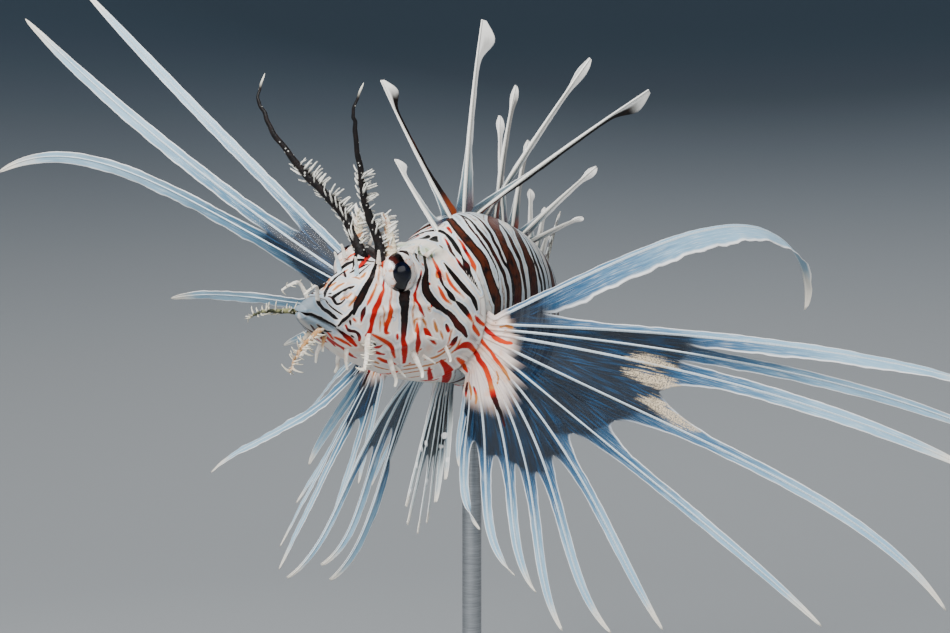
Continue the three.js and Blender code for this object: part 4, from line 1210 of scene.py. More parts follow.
@dataclass
class Sculpt:
    """The relief of the skin: sockets, lips, gill slit, ridges of the skull and nostrils."""

    body: BodyShape
    ridges: tuple[tuple[tuple[tuple[float, float], ...], float, float], ...] = (
        # points as millimetres and degrees, height, half width
        (((24, 74), (27.5, 84), (28, 98), (26, 114), (21, 130)), 0.45, 0.8),
        (((14, 80), (18, 82), (23, 80), (28, 79), (33, 80)), 0.4, 0.9),
        (((29, 30), (34, 26), (39, 24)), 0.7, 1.1),
        (((12, 40), (16, 36), (20, 32), (26, 30)), 0.5, 0.9),
        (((30, 60), (36, 66), (42, 74)), 0.3, 1.1),
        (((4, 40), (7, 34), (11, 30)), 0.35, 0.7),
        (((9, 82), (7.6, 92), (6, 108), (7, 118)), 0.4, 0.7),
    )
    nostril: tuple[float, float, float] = (0.068, 0.031, 0.025)
    mouth_depth: float = 0.8
    gill_depth: float = 0.7

    def path_gap(self, points: Array, path: Sequence[tuple[float, float]]) -> Array:
        """Return how far points of the straight fish are from a path on its skin, either side.

        Args:
            points: Points in millimetres.
            path: Millimetres and degrees of each point.

        Returns:
            The distances in millimetres, FAR for any that is far away.
        """
        line = smooth_path(path, 12 * len(path))
        spots = self.body.straight_skin(line[:, 0] / self.body.length, np.radians(line[:, 1]))
        mirrored = points * np.array([1, 0, 1]) + np.abs(points) * np.array([0, 1, 0])
        gap = np.full(len(points), FAR)
        inside = (mirrored > spots.min(0) - SEARCH) & (mirrored < spots.max(0) + SEARCH)
        near = np.flatnonzero(inside.all(1))
        gap[near] = np.linalg.norm(mirrored[near, None] - spots[None], axis=2).min(1)
        return gap

    def relief(self, points: Array) -> Array:
        """Return how far each point of the straight skin is raised, in millimetres.

        Args:
            points: Points in millimetres.

        Returns:
            The heights, negative where the skin sinks.
        """
        length = self.body.length
        x, y, z = points.T / length
        raised = np.zeros(len(points))
        for path, height, width in self.ridges:
            raised += height * bell(self.path_gap(points, path), 0, width)
        jaw = (z - self.body.mouth_height(x)) * length * 0.93
        mouth = 1 - smooth(x, self.body.mouth_end - 0.01, self.body.mouth_end + 0.004)
        raised -= self.mouth_depth * bell(jaw, 0, 0.27) * mouth
        lips = 0.3 * bell(jaw, 1.0, 0.6) + 0.35 * bell(jaw, -1.1, 0.7)
        raised += lips * mouth * (1 - smooth(x, 0.05, 0.12))
        slit = (x - self.body.gill_edge(z)) * length
        aside = smooth(np.abs(y), 0.03, 0.06) * smooth(z, -0.15, -0.12) * (1 - smooth(z, 0.09, 0.12))
        raised += (0.25 * bell(slit, -0.7, 0.6) - self.gill_depth * bell(slit, 0.75, 0.45)) * aside
        nostril = np.array(self.nostril) * length * np.where(y[:, None] > 0, 1, (1, -1, 1))
        pit = np.linalg.norm(points - nostril, axis=1)
        raised += 0.45 * bell(pit, 1.25, 0.45) - 0.8 * bell(pit, 0, 0.7)
        chin = smooth(-z, 0.03, 0.05) * (1 - smooth(x, 0.1, 0.3)) * (1 - smooth(np.abs(y), 0.01, 0.05))
        raised -= 0.4 * bell(y * length, 0, 0.7) * chin
        raised += 0.16 * ripple(z * 9 + 3 * y, 3.0) * bell(x, 0.4, 0.05) * smooth(-z, 0.0, 0.05)
        raised += 0.1 * ripple(x * 14 + z * 5, 1.0) * (1 - smooth(x, 0.3, 0.36))
        return raised

    def socket(self, points: Array) -> Array:
        """Return how each point moves to make the rims and hollows of the eye sockets, in millimetres.

        Args:
            points: Points in millimetres.

        Returns:
            The moves, as vectors.
        """
        moved = np.zeros_like(points)
        radius = self.body.eye_radius * self.body.length
        for side in (LEFT, RIGHT):
            axes = self.body.eye_axes(side)
            local = (points - self.body.eye_centre(side)) @ axes.T
            reach = np.hypot(local[:, 0], local[:, 2])
            facing = smooth(local[:, 1], -3.5, -1.5)
            sink = (1 - smooth(reach, radius - 0.5, radius + 0.15)) * np.minimum(-1.2 - local[:, 1], 0)
            rim = 0.3 * bell(reach, radius + 0.65, 0.6) + 0.2 * bell(reach, radius + 1.9, 0.5)
            moved += ((sink + rim) * facing)[:, None] * axes[1]
        return moved


@dataclass
class FishSkin:
    """The whole skin as one closed mesh, from the lips to the root of the tail fin."""

    body: BodyShape
    around: int = 290
    head_rings: int = 146
    barred_rings: int = 95
    rear_rings: int = 75
    head_until: float = 0.36
    barred_until: float = 0.62
    nose_round: float = 0.9
    nodes: tuple[str, ...] = (
        "head", "lower_jaw", "gill_cover_left", "gill_cover_right", "torso", "tail_stalk")

    def rings(self) -> Array:
        """Return the distances of the rings from the snout, as shares of the length."""
        head = np.linspace(0, self.head_until, self.head_rings) ** 1.12 / self.head_until**0.12
        barred = np.linspace(self.head_until, self.barred_until, self.barred_rings)
        return np.concatenate([head, barred[1:], np.linspace(self.barred_until, 1.0, self.rear_rings)[1:]])

    def build(self) -> bpy.types.Object:
        """Build the skin with its relief and the numbers for its markings."""
        x = self.rings()
        angles = np.linspace(0, 2 * math.pi, self.around, endpoint=False)
        straight = self.body.straight_skin(x[:, None], angles[None, :])
        along = np.gradient(straight, axis=0)
        about = np.roll(straight, -1, 1) - np.roll(straight, 1, 1)
        normal = unit(np.cross(about, along))
        outward = dot(normal, straight - straight.mean(1, keepdims=True))
        normal = np.where(outward < 0, -normal, normal).reshape(-1, 3)
        flat = straight.reshape(-1, 3)
        sculpt = Sculpt(self.body)
        marks = Markings().measure(self.body, flat)
        raised = flat + normal * sculpt.relief(flat)[:, None]
        raised += sculpt.socket(raised)
        shaped = raised.reshape(straight.shape)
        nose = self.nose_rings(shaped[0])
        points = self.body.bend(np.concatenate([nose, shaped]).reshape(-1, 3))
        share = flat[:, 0] / self.body.length
        turned = np.degrees(np.abs((np.tile(angles, len(x)) + math.pi) % (2 * math.pi) - math.pi))
        marks |= {
            "flank": smooth(share, 0.29, 0.36),
            "belly": smooth(turned, 140, 172),
            "nape": bell(flat[:, 0], 36.5, 3.2) * bell(turned, 17, 13),
            "lips": 1 - smooth(flat[:, 0], 2.5, 8.0),
        }
        data = {
            key: np.concatenate([np.tile(values[: self.around], len(nose)), values])
            for key, values in marks.items()
        }
        made = mesh_object("skin", points, tube_faces(len(nose) + len(x), self.around), data)
        turn_outwards(made)
        return made

    def nose_rings(self, first: Array) -> Array:
        """Return rings that round off the snout in front of its first ring.

        Args:
            first: The skin's first ring.

        Returns:
            The rings, the foremost first.
        """
        middle = first.mean(0)
        rings = []
        for t in (0.985, 0.93, 0.82, 0.66, 0.44, 0.2):
            forward = np.array([self.nose_round * t, 0, 0])
            rings.append(middle + (first - middle) * math.sqrt(1 - t * t) - forward)
        return np.stack(rings)

    def dress(self) -> None:
        """Add the skin to the scene."""
        add_piece(self.build(), SkinFinish().material(), "skin", *self.nodes)


# Fins

Heading = Callable[[Array], Array]


def sideways(side: int, sweep: Array, lift: Array) -> Array:
    """Return directions swept towards the tail from straight out sideways, and lifted above the level.

    Args:
        side: LEFT or RIGHT.
        sweep: Degrees towards the tail.
        lift: Degrees above the level.

    Returns:
        A unit vector for each sweep and lift.
    """
    a, b = np.radians(sweep), np.radians(lift)
    return np.stack([np.sin(a) * np.cos(b), side * np.cos(a) * np.cos(b), np.sin(b)], -1)


def upright(up: int, lean: Array, tilt: float, turn: float) -> Array:
    """Return directions leaning towards the tail from upright, or from straight down, on a curved tail.

    Args:
        up: 1 for upright, -1 for straight down.
        lean: Degrees towards the tail.
        tilt: Degrees to the fish's side.
        turn: How far the tail has curved, in radians.

    Returns:
        A unit vector for each lean.
    """
    a, b = np.radians(lean), math.radians(tilt)
    x, y, z = np.sin(a), math.sin(b) * np.cos(a), up * math.cos(b) * np.cos(a)
    return np.stack([x * math.cos(turn) - y * math.sin(turn), x * math.sin(turn) + y * math.cos(turn), z], -1)


@dataclass
class Ray:
    """One ray of a fin: where it starts, how long it is, and where it heads along its way."""

    base: Array
    length: float
    heading: Heading
    root: Array | None = None

    def points(self, shares: Array) -> Array:
        """Return points at shares of the length, some behind the base.

        Args:
            shares: Shares of the length, below 0 for the buried root.

        Returns:
            A row for each share, in millimetres.
        """
        count = 240
        steps = self.heading((np.arange(count) + 0.5) / count) * self.length / count
        path = np.vstack([self.base, self.base + np.cumsum(steps, axis=0)])
        at = np.clip(shares, 0, 1) * count
        made = np.stack([np.interp(at, np.arange(count + 1), path[:, k]) for k in range(3)], -1)
        root = self.heading(np.zeros(1)) * self.length if self.root is None else self.root
        return made + np.minimum(shares, 0)[:, None] * root


def no_flesh(s: Array, i: int) -> Array:
    """Return the flesh of a ray that has none."""
    return 0 * s


@dataclass
class FinShape:
    """A fin of thick rays and thin skin: webbed up to a notch between each two rays, free ribbons beyond."""

    rays: list[Ray]
    notches: Sequence[float]
    borders: Callable[[Array, int], tuple[Array, Array]]
    ridge: tuple[float, float] = (0.5, 0.16)
    skin_half: float = 0.11
    flesh: Callable[[Array, int], Array] = no_flesh
    across: tuple[float, float, float] | None = None
    start: float = -0.05
    stub: float = 50.0
    rows: int = 72
    notch_reach: float = 0.14
    billow: float = 0.35
    flutter: float = 0.35
    seed: float = 1.0
    strips: Sequence[float] = ()
    stripes: Sequence[Stripe] = ()
    patches: Sequence[Stripe] = ()
    web_columns: tuple[float, ...] = (0.07, 0.18, 0.3, 0.43, 0.57, 0.71, 0.84, 0.93, 1.0)
    ridge_columns: tuple[float, ...] = (0.35, 0.68, 0.93)
    label_step: float = 7.0
    _spots: list[Array] = field(init=False, default_factory=list)
    _normals: list[Array] = field(init=False, default_factory=list)
    _halves: list[Array] = field(init=False, default_factory=list)
    _data: dict[str, list[Array]] = field(init=False, default_factory=dict)
    _cells: list[tuple[int, ...]] = field(init=False, default_factory=list)

    def build(self, name: str) -> bpy.types.Object:
        """Build the fin as one closed mesh that carries places along and across its rays.

        Args:
            name: The piece's name.

        Returns:
            The fin.
        """
        shares = np.linspace(self.start, 1, self.rows)
        lines = np.stack([ray.points(shares) for ray in self.rays])
        tangents = unit(np.gradient(lines, axis=1))
        asides = np.broadcast_to(np.array(self.across), lines.shape) if self.across else self._gaps(lines)
        asides = unit(asides - tangents * dot(asides, tangents))
        normals = np.cross(tangents, asides)
        s = np.maximum(shares, 0)
        shared = None
        for i in range(len(self.rays)):
            before = self._side(i, -1, lines, asides, normals, s, shared)
            crest = self._crest(i, lines, normals, s)
            after = self._side(i, 1, lines, asides, normals, s, None)
            shared = after[-1]
            columns = [*reversed(before), crest, *after]
            for left, right in zip(columns, columns[1:]):
                self._cells += [(left[r], right[r], right[r + 1], left[r + 1]) for r in range(self.rows - 1)]
        return self._closed(name)

    def _gaps(self, lines: Array) -> Array:
        """Return for each ray the way from the ray before it to the one after."""
        last = len(lines) - 1
        numbers = np.arange(last + 1)
        return lines[np.minimum(numbers + 1, last)] - lines[np.maximum(numbers - 1, 0)]

    def _add(self, spots: Array, normals: Array, halves: Array, **data: Array) -> list[int]:
        """Keep a column of points and return their numbers.

        Args:
            spots: Points in the middle of the sheet.
            normals: Directions out of it.
            halves: Half the thickness at each point.
            data: What the mesh carries at each point.

        Returns:
            The points' numbers.
        """
        first = sum(len(part) for part in self._spots)
        self._spots.append(spots)
        self._normals.append(normals)
        self._halves.append(np.broadcast_to(halves, len(spots)))
        for key, values in data.items():
            self._data.setdefault(key, []).append(np.broadcast_to(values, len(spots)))
        return list(range(first, first + len(spots)))

    def _labels(self, i: int, s: Array) -> dict[str, Array]:
        """Return what is alike across a ray: its shift, its flesh and the places along it."""
        return {
            "along": s,
            "length": s * self.rays[i].length,
            "shift": 2.1 * float(ripple(0.37 * i, self.seed)),
            "flesh": np.clip(self.flesh(s, i), 0, 1),
        }

    def _crest(self, i: int, lines: Array, normals: Array, s: Array) -> list[int]:
        """Add the column of points along the top of a ray."""
        half = lerp(*self.ridge, s) + 0.6 * self.flesh(s, i)
        return self._add(lines[i], normals[i], half, ray=1.0, out=0.0, web=0.0, free=0.0, strip=0.0,
                         aside=self.label_step * i, **self._labels(i, s))

    def _side(self, i: int, sign: int, lines: Array, asides: Array, normals: Array, s: Array,
              shared: list[int] | None) -> list[list[int]]:
        """Add the columns of points on one side of a ray, out to the middle of the web or the free edge.

        Args:
            i: The ray's number.
            sign: -1 for the side of the ray before, 1 for the next one's.
            lines: All rays' points.
            asides: Directions across each ray.
            normals: Directions out of the sheet.
            s: The rows' shares of the length, none below 0.
            shared: The neighbour's last column, used where the two meet in the web.

        Returns:
            The columns' point numbers, from the ray outwards.
        """
        line, normal, length = lines[i], normals[i], self.rays[i].length
        other = i + sign
        neighboured = 0 <= other < len(self.rays)
        width = self.borders(s, i)[(sign + 1) // 2]
        wave = 1 + 0.14 * ripple(s * length / 9, self.seed + i) * (1 - s)
        free = sign * asides[i] * (width * wave)[:, None]
        webbed, loose, middle = np.zeros(len(s)), s, free
        if neighboured:
            notch = self.notches[min(i, other)]
            q = np.clip((s - notch) / self.notch_reach, 0, 1)
            loose = np.clip((s - notch) / (1 - notch), 0, 1)
            webbed = np.where(s <= notch, 1.0, 1 - np.sqrt(np.maximum(1 - (1 - q) ** 2, 0)))
            middle = (lines[other] - line) / 2
        edge = webbed[:, None] * middle + (1 - webbed)[:, None] * free
        far = np.linalg.norm(edge, axis=1)
        direction = edge / np.maximum(far, 1e-6)[:, None]
        crest_half = lerp(*self.ridge, s)
        bone = np.minimum(crest_half, 0.9 * far)
        web_number = min(i, other) if neighboured else 20 + i
        swell = self.billow * webbed * smooth(s, 0.02, 0.2) * np.minimum(far / 3, 1.6)
        swell = swell * (0.5 + ripple(s * 1.1, self.seed + 0.7 * web_number))
        wag = self.flutter * (1 - webbed) * np.minimum(far / 3, 1.2) * ripple(s * length / 23, i + 3.0)
        places = [(f * bone, True) for f in self.ridge_columns]
        places += [(bone + f * (far - bone), False) for f in self.web_columns]
        columns = []
        for d, on_bone in places:
            share = d / np.maximum(far, 1e-6)
            round_half = np.sqrt(np.maximum(crest_half**2 - d**2, 0)) if on_bone else 0 * s
            half = np.maximum(round_half, self.skin_half * lerp(1, 0.7, s)) + 0.6 * self.flesh(s, i)
            last = len(columns) == len(places) - 1
            if last:
                half = half * np.where(webbed > 0.98, 1, 0.35)
            out_of_sheet = swell * np.sin(math.pi * share / 2) + wag * share**1.5
            spots = line + direction * d[:, None] + normal * out_of_sheet[:, None]
            striped = self.strips and sign > 0 and not on_bone
            numbers = self._add(
                spots, normal, half,
                ray=bell(d, 0, np.maximum(crest_half, 0.2)) if on_bone else 0.0,
                out=share,
                web=webbed,
                free=loose,
                strip=self.strips[i] * smooth(share, 0.2, 0.4) if striped else 0.0,
                aside=self.label_step * i + sign * d,
                **self._labels(i, s),
            )
            if last and shared is not None:
                numbers = [a if joined else b for a, b, joined in zip(shared, numbers, webbed >= 1.0)]
            columns.append(numbers)
        return columns

    def _closed(self, name: str) -> bpy.types.Object:
        """Make the closed mesh: the columns' points on both faces, with walls round the open edges.

        Args:
            name: The piece's name.

        Returns:
            The fin.
        """
        spots, normals = np.concatenate(self._spots), np.concatenate(self._normals)
        halves = np.concatenate(self._halves)[:, None]
        count = len(spots)
        points = np.concatenate([spots + normals * halves, spots - normals * halves])
        faces = [*self._cells, *[(a + count, d + count, c + count, b + count) for a, b, c, d in self._cells]]
        rims: dict[tuple[int, int], None] = {}
        for cell in self._cells:
            for p, q in zip(cell, (*cell[1:], cell[0])):
                if (q, p) in rims:
                    del rims[(q, p)]
                else:
                    rims[(p, q)] = None
        faces += [(q, p, p + count, q + count) for p, q in rims]
        data = {key: np.tile(np.concatenate(parts), 2) for key, parts in self._data.items()}
        if self.stripes:
            painted = nearest_stripes(spots, self.stripes, self.place)
            painted["sand_edge"] = nearest_stripes(spots, self.patches, self.place)["stripe_edge"]
            data |= {key: np.tile(values, 2) for key, values in painted.items()}
        made = mesh_object(name, points, faces, data)
        self._drop_loose(made)
        turn_outwards(made)
        return made

    def place(self, numbers: Array, mm: Array) -> Array:
        """Return points on the fin, given as ray numbers and millimetres along the rays.

        Args:
            numbers: Ray numbers, with shares of the gap to the next ray.
            mm: Millimetres along the rays, where negative ones use the buried root.

        Returns:
            Points in millimetres.
        """
        spots = np.stack([ray.points(mm / np.where(mm > 0, ray.length, self.stub)) for ray in self.rays])
        before = np.clip(numbers.astype(int), 0, len(self.rays) - 2)
        share = (numbers - before)[:, None]
        at = np.arange(len(mm))
        return spots[before, at] * (1 - share) + spots[before + 1, at] * share

    def _drop_loose(self, made: bpy.types.Object) -> None:
        """Delete points that no face uses, left where two rays' columns became one."""
        sheet = bmesh.new()
        sheet.from_mesh(made.data)
        bmesh.ops.delete(sheet, geom=[v for v in sheet.verts if not v.link_faces], context="VERTS")
        sheet.to_mesh(made.data)
        sheet.free()


@dataclass
class Fin:
    """What all fins share: a length for each ray, a finish, and how they are added to the scene."""

    lengths: Sequence[float]
    finish: FinFinish

    def ray(self, i: int) -> Ray:
        """Return one ray, which each kind of fin gives."""
        raise NotImplementedError

    def shape(self) -> FinShape:
        """Return the fin's shape, which each kind of fin gives."""
        raise NotImplementedError

    def names(self) -> tuple[str, ...]:
        """Return the piece's name and the CAD nodes that it stands for, which each kind of fin gives."""
        raise NotImplementedError

    def rays(self) -> list[Ray]:
        """Return all rays in order."""
        return [self.ray(i) for i in range(len(self.lengths))]

    def down(self, i: int) -> float:
        """Return a ray's place in the row of rays, from 0 for the first to 1 for the last."""
        return i / (len(self.lengths) - 1)

    def dress(self) -> None:
        """Build the fin and add it to the scene."""
        name, *nodes = self.names()
        add_piece(self.shape().build(name), self.finish.material(), "fin", *nodes)


@dataclass
class PectoralFin(Fin):
    """One of the two large side fins, with values for each ray from the top one down."""

    side: int
    sweeps: Sequence[float]
    lifts: Sequence[float]
    curls: Sequence[float]
    widths: Sequence[float]
    webs: Sequence[float]
    trails: dict[int, float]
    hooks: dict[int, float]
    lean_down: Sequence[float]
    patches: Sequence[Stripe] = ()
    flesh_ends: tuple[float, ...] = (3.5, 4.5, 5.5, 7, 8, 9.5, 12, 14, 15, 13, 11, 8.5, 6)
    top: tuple[float, float, float] = (0.365, 0.118, 0.012)
    bottom: tuple[float, float, float] = (0.352, 0.092, -0.086)
    root_turn: tuple[float, float] = (30.0, -28.0)
    root_reach: float = 50.0
    fullness: float = 1.25

    def ray(self, i: int) -> Ray:
        """Return one ray."""
        mirror = np.array([1, self.side, 1]) * BODY.length
        trail, hook = self.trails.get(i, 0.0), self.hooks.get(i, 0.0)

        def heading(s: Array) -> Array:
            """Return the ray's direction at shares of its length."""
            lift = self.lifts[i] + self.curls[i] * s + hook * s**4
            return sideways(self.side, self.sweeps[i] + trail * s, lift)

        base = lerp(np.array(self.top) * mirror, np.array(self.bottom) * mirror, self.down(i))
        return Ray(base, self.lengths[i], heading, sideways(self.side, *self.root_turn) * self.root_reach)

    def borders(self, s: Array, i: int) -> tuple[Array, Array]:
        """Return the widths of the free skin before and after a ray.

        Args:
            s: Shares of the ray's length.
            i: The ray's number.

        Returns:
            The two widths in millimetres at each share.
        """
        wide = self.widths[i] * self.fullness * (1 - s**5) ** 0.6
        upper = 0.3 * (1 - s) + 0.12 + (1 - self.lean_down[i]) * wide
        lower = self.lean_down[i] * wide + 0.12
        return upper, lower

    def flesh(self, s: Array, i: int) -> Array:
        """Return how fleshy a ray is at shares of its length, from 1 at its base to 0."""
        end = self.flesh_ends[i] / self.lengths[i]
        return 1 - smooth(s, 0.72 * end, 1.2 * end)

    def names(self) -> tuple[str, ...]:
        """Return the piece's name and the CAD nodes that it stands for."""
        label = SIDES[self.side]
        return f"pectoral_{label}", f"pectoral_fin_{label}_upper", f"pectoral_fin_{label}_lower"

    def shape(self) -> FinShape:
        """Return the fin's shape."""
        return FinShape(
            rays=self.rays(),
            notches=self.webs,
            borders=self.borders,
            ridge=(0.38, 0.16),
            flesh=self.flesh,
            stripes=FIN_STRIPES,
            patches=self.patches,
            rows=96,
            billow=0.5,
            flutter=0.5,
            seed=2.0 + self.side,
        )


PECTORALS = (
    PectoralFin(
        side=LEFT,
        lengths=(115, 125, 128, 124, 129, 106, 83, 77, 71, 59, 53, 40, 23),
        sweeps=(49, 34, 36, 36, 29, 31, 36, 35, 32, 29, 20, 11, 7),
        lifts=(34, 7, 4, 0, -17, -31, -37, -41, -46, -53, -67, -84, -88),
        curls=(-13, -8, -12, -12, 4, 2, -32, -54, -58, -52, -34, -10, -10),
        trails={0: 31, 4: 4},
        hooks={
            0: -111, 1: -9, 2: -8, 3: -6, 4: -34, 5: -6, 6: 21, 7: 58, 8: 54, 9: 62, 10: 73, 11: 60, 12: 30,
        },
        widths=(5.2, 3.4, 2.6, 3, 2.2, 2, 1.9, 1.9, 1.9, 1.9, 1.8, 1.7, 1.2),
        lean_down=(0.9, 0.7, 0.6, 0.55, 0.5, 0.5, 0.5, 0.5, 0.5, 0.5, 0.5, 0.5, 0.5),
        webs=(0.11, 0.38, 0.37, 0.355, 0.315, 0.33, 0.4, 0.44, 0.43, 0.42, 0.4, 0.38),
        patches=SAND_PATCHES,
        finish=FinFinish("left pectoral skin", striped=True),
    ),
    PectoralFin(
        side=RIGHT,
        lengths=(126, 132, 130, 77, 74, 70, 77, 51, 61, 72, 74, 50, 34),
        sweeps=(-15, -18, -20, -1, 28, 32, 4, 21, 20, 17, 14, 12, 10),
        lifts=(32, 22, 18, -4, -8, -26, -62, -59, -63, -60, -64, -76, -84),
        curls=(4, 10, 3, 4, -10, -10, 59, 23, 13, 0, 0, 0, 0),
        trails={2: 11},
        hooks={1: 2, 2: -55, 3: -18, 6: -43, 7: -28},
        widths=(2.2, 2.9, 3.2, 3.2, 2.4, 2.4, 3.2, 2, 1.8, 1.8, 1.8, 1.6, 1.4),
        lean_down=(0.5, 0.6, 0.6, 0.6, 0.5, 0.5, 0.5, 0.5, 0.5, 0.5, 0.5, 0.5, 0.5),
        webs=(0.24, 0.3, 0.24, 0.24, 0.24, 0.24, 0.24, 0.35, 0.35, 0.35, 0.35, 0.35),
        patches=SAND_PATCHES[3:],
        finish=FinFinish(
            "right pectoral skin", striped=True, ribbon=0x4A7E9E, ribbon_end=0x9DC4DB, ribbon_clear=0.2),
    ),
)


@dataclass
class MedianFin(Fin):
    """A fin in the fish's middle line, on the back or under the belly."""

    name: str
    node: str
    starts: Sequence[float]
    leans: Sequence[float]
    tilts: Sequence[float]
    notch: float
    up: int = 1
    bow: float = 8.0
    ridge: tuple[float, float] = (0.32, 0.1)
    flags: Sequence[float] = ()
    flag_at: tuple[float, float] = (0.91, 0.08)
    spindle: float = 1.0
    strips: Sequence[float] = ()
    free: float = 0.5
    across: tuple[float, float, float] | None = None

    def ray(self, i: int) -> Ray:
        """Return one ray, rooted in the back or the belly."""
        x = self.starts[i]
        base = BODY.skin(x, 0.0 if self.up > 0 else math.pi, -0.8)
        turn = BODY.turn_at(x)

        def heading(s: Array) -> Array:
            """Return the ray's direction at shares of its length."""
            return upright(self.up, self.leans[i] + self.bow * s, self.tilts[i], turn)

        return Ray(base, self.lengths[i], heading)

    def borders(self, s: Array, i: int) -> tuple[Array, Array]:
        """Return the widths of the free skin before and after a ray.

        Args:
            s: Shares of the ray's length.
            i: The ray's number.

        Returns:
            The two widths in millimetres at each share.
        """
        flag = self.flags[i] if self.flags else 0.0
        front = flag if flag < self.spindle else 0.0
        before = 0.42 * self.free * (1 - s) + 0.1 + front * bell(s, *self.flag_at)
        after = self.free * lerp(1.0, 0.5, s) + flag * bell(s, *self.flag_at)
        return before, after - 0.3 * self.free * smooth(s, 0.97, 1)

    def names(self) -> tuple[str, ...]:
        """Return the piece's name and the CAD node that it stands for."""
        return self.name, self.node

    def shape(self) -> FinShape:
        """Return the fin's shape."""
        return FinShape(
            rays=self.rays(),
            notches=[self.notch] * (len(self.lengths) - 1),
            borders=self.borders,
            ridge=self.ridge,
            skin_half=0.09,
            across=self.across,
            strips=self.strips,
            notch_reach=0.3,
            billow=0.25,
            flutter=0.2,
            rows=56,
            seed=len(self.name) * 0.31,
        )


def spread(low: float, high: float, count: int) -> list[float]:
    """Return evenly spaced values."""
    return [float(v) for v in np.linspace(low, high, count)]


SPINE_FINISH = FinFinish(
    "spiny fin", ray=0xEFE9DC, ray_middle=0xC9CDC8, web=0x244655, ribbon=0x6C8E9B, ribbon_end=0xF4F2EC,
    tip=0xFBF8F0, dark=0x4A2415, clear=0.75,
)
CLEAR_FINISH = FinFinish(
    "clear fin", ray=0xD5D3C6, ray_middle=0xB9B5A2, web=0xBFCBCB, web_light=0xDCE0DC, ribbon=0xD5DAD6,
    tip=0xEDE6D6, dark_bands=0.7, dark=0x4A2A20, dark_pitch=4.6, clear=0.62, ribbon_clear=0.35,
)
MEDIAN_FINS = (
    MedianFin(
        name="dorsal_spines", node="dorsal_fin_spiny", finish=SPINE_FINISH,
        starts=spread(0.325, 0.72, 13),
        lengths=(24, 40, 51, 54, 50, 46, 43, 39, 36, 32, 25, 20, 15),
        leans=(-2, -14, 3, 20, 17, 24, 27, 37, 44, 66, 36, 38, 48),
        tilts=(47, 36, 9, -40, -16, 21, 34, 27, -18, -20, 26, 12, 9),
        flags=(1.8, 2.6, 3.7, 2.8, 0.9, 0.7, 0.8, 0.6, 0.8, 0.7, 0.7, 0.6, 0.5),
        strips=(0.25, 1, 0.45, 1, 0.35, 0.8, 0.4, 0.8, 0.4, 0.7, 0.4, 0.6, 0.4),
        notch=0.06, ridge=(0.62, 0.2), free=1.5, across=(0.87, -0.5, 0.0),
    ),
    MedianFin(
        name="dorsal_soft", node="dorsal_fin_soft", finish=CLEAR_FINISH,
        starts=spread(0.765, 0.915, 10), lengths=(24, 28, 30, 31, 31, 30, 28, 26, 23, 19),
        leans=spread(38, 66, 10), tilts=[0.0] * 10, notch=0.8, free=0.45,
    ),
    MedianFin(
        name="anal", node="anal_fin", finish=CLEAR_FINISH,
        starts=spread(0.69, 0.885, 9), lengths=(14, 20, 26, 31, 33, 33, 32, 29, 24),
        leans=spread(42, 66, 9), tilts=[0.0] * 9, notch=0.8, up=-1, free=0.45,
    ),
)


@dataclass
class TailFin(Fin):
    """The rounded tail fin."""

    lengths: Sequence[float] = (34, 40, 43, 44, 44, 43, 43, 44, 44, 43, 40, 34)
    finish: FinFinish = CLEAR_FINISH
    half_height: float = 0.048
    fan: float = 30.0
    buried: float = 2.1

    def ray(self, i: int) -> Ray:
        """Return one ray, from the top one down."""
        t = lerp(1.0, -1.0, self.down(i))
        turn = BODY.bend_angle
        base = BODY.bend(np.array([0.985, 0.0, t * self.half_height]) * BODY.length)

        def heading(s: Array) -> Array:
            """Return the ray's direction at shares of its length."""
            rise = np.radians((self.fan - 8 * s) * t)
            return np.stack([np.cos(rise) * math.cos(turn), np.cos(rise) * math.sin(turn), np.sin(rise)], -1)

        return Ray(base, self.lengths[i] + self.buried, heading)

    def borders(self, s: Array, i: int) -> tuple[Array, Array]:
        """Return the widths of the free skin before and after a ray."""
        return 0.3 + 0 * s, 0.3 + 0 * s

    def names(self) -> tuple[str, ...]:
        """Return the piece's name and the CAD node that it stands for."""
        return "tail_fin", "caudal_fin"

    def shape(self) -> FinShape:
        """Return the fin's shape."""
        return FinShape(
            rays=self.rays(),
            notches=[0.9] * (len(self.lengths) - 1),
            borders=self.borders,
            ridge=(0.36, 0.1),
            skin_half=0.09,
            notch_reach=0.1,
            billow=0.25,
            rows=56,
            seed=4.0,
        )


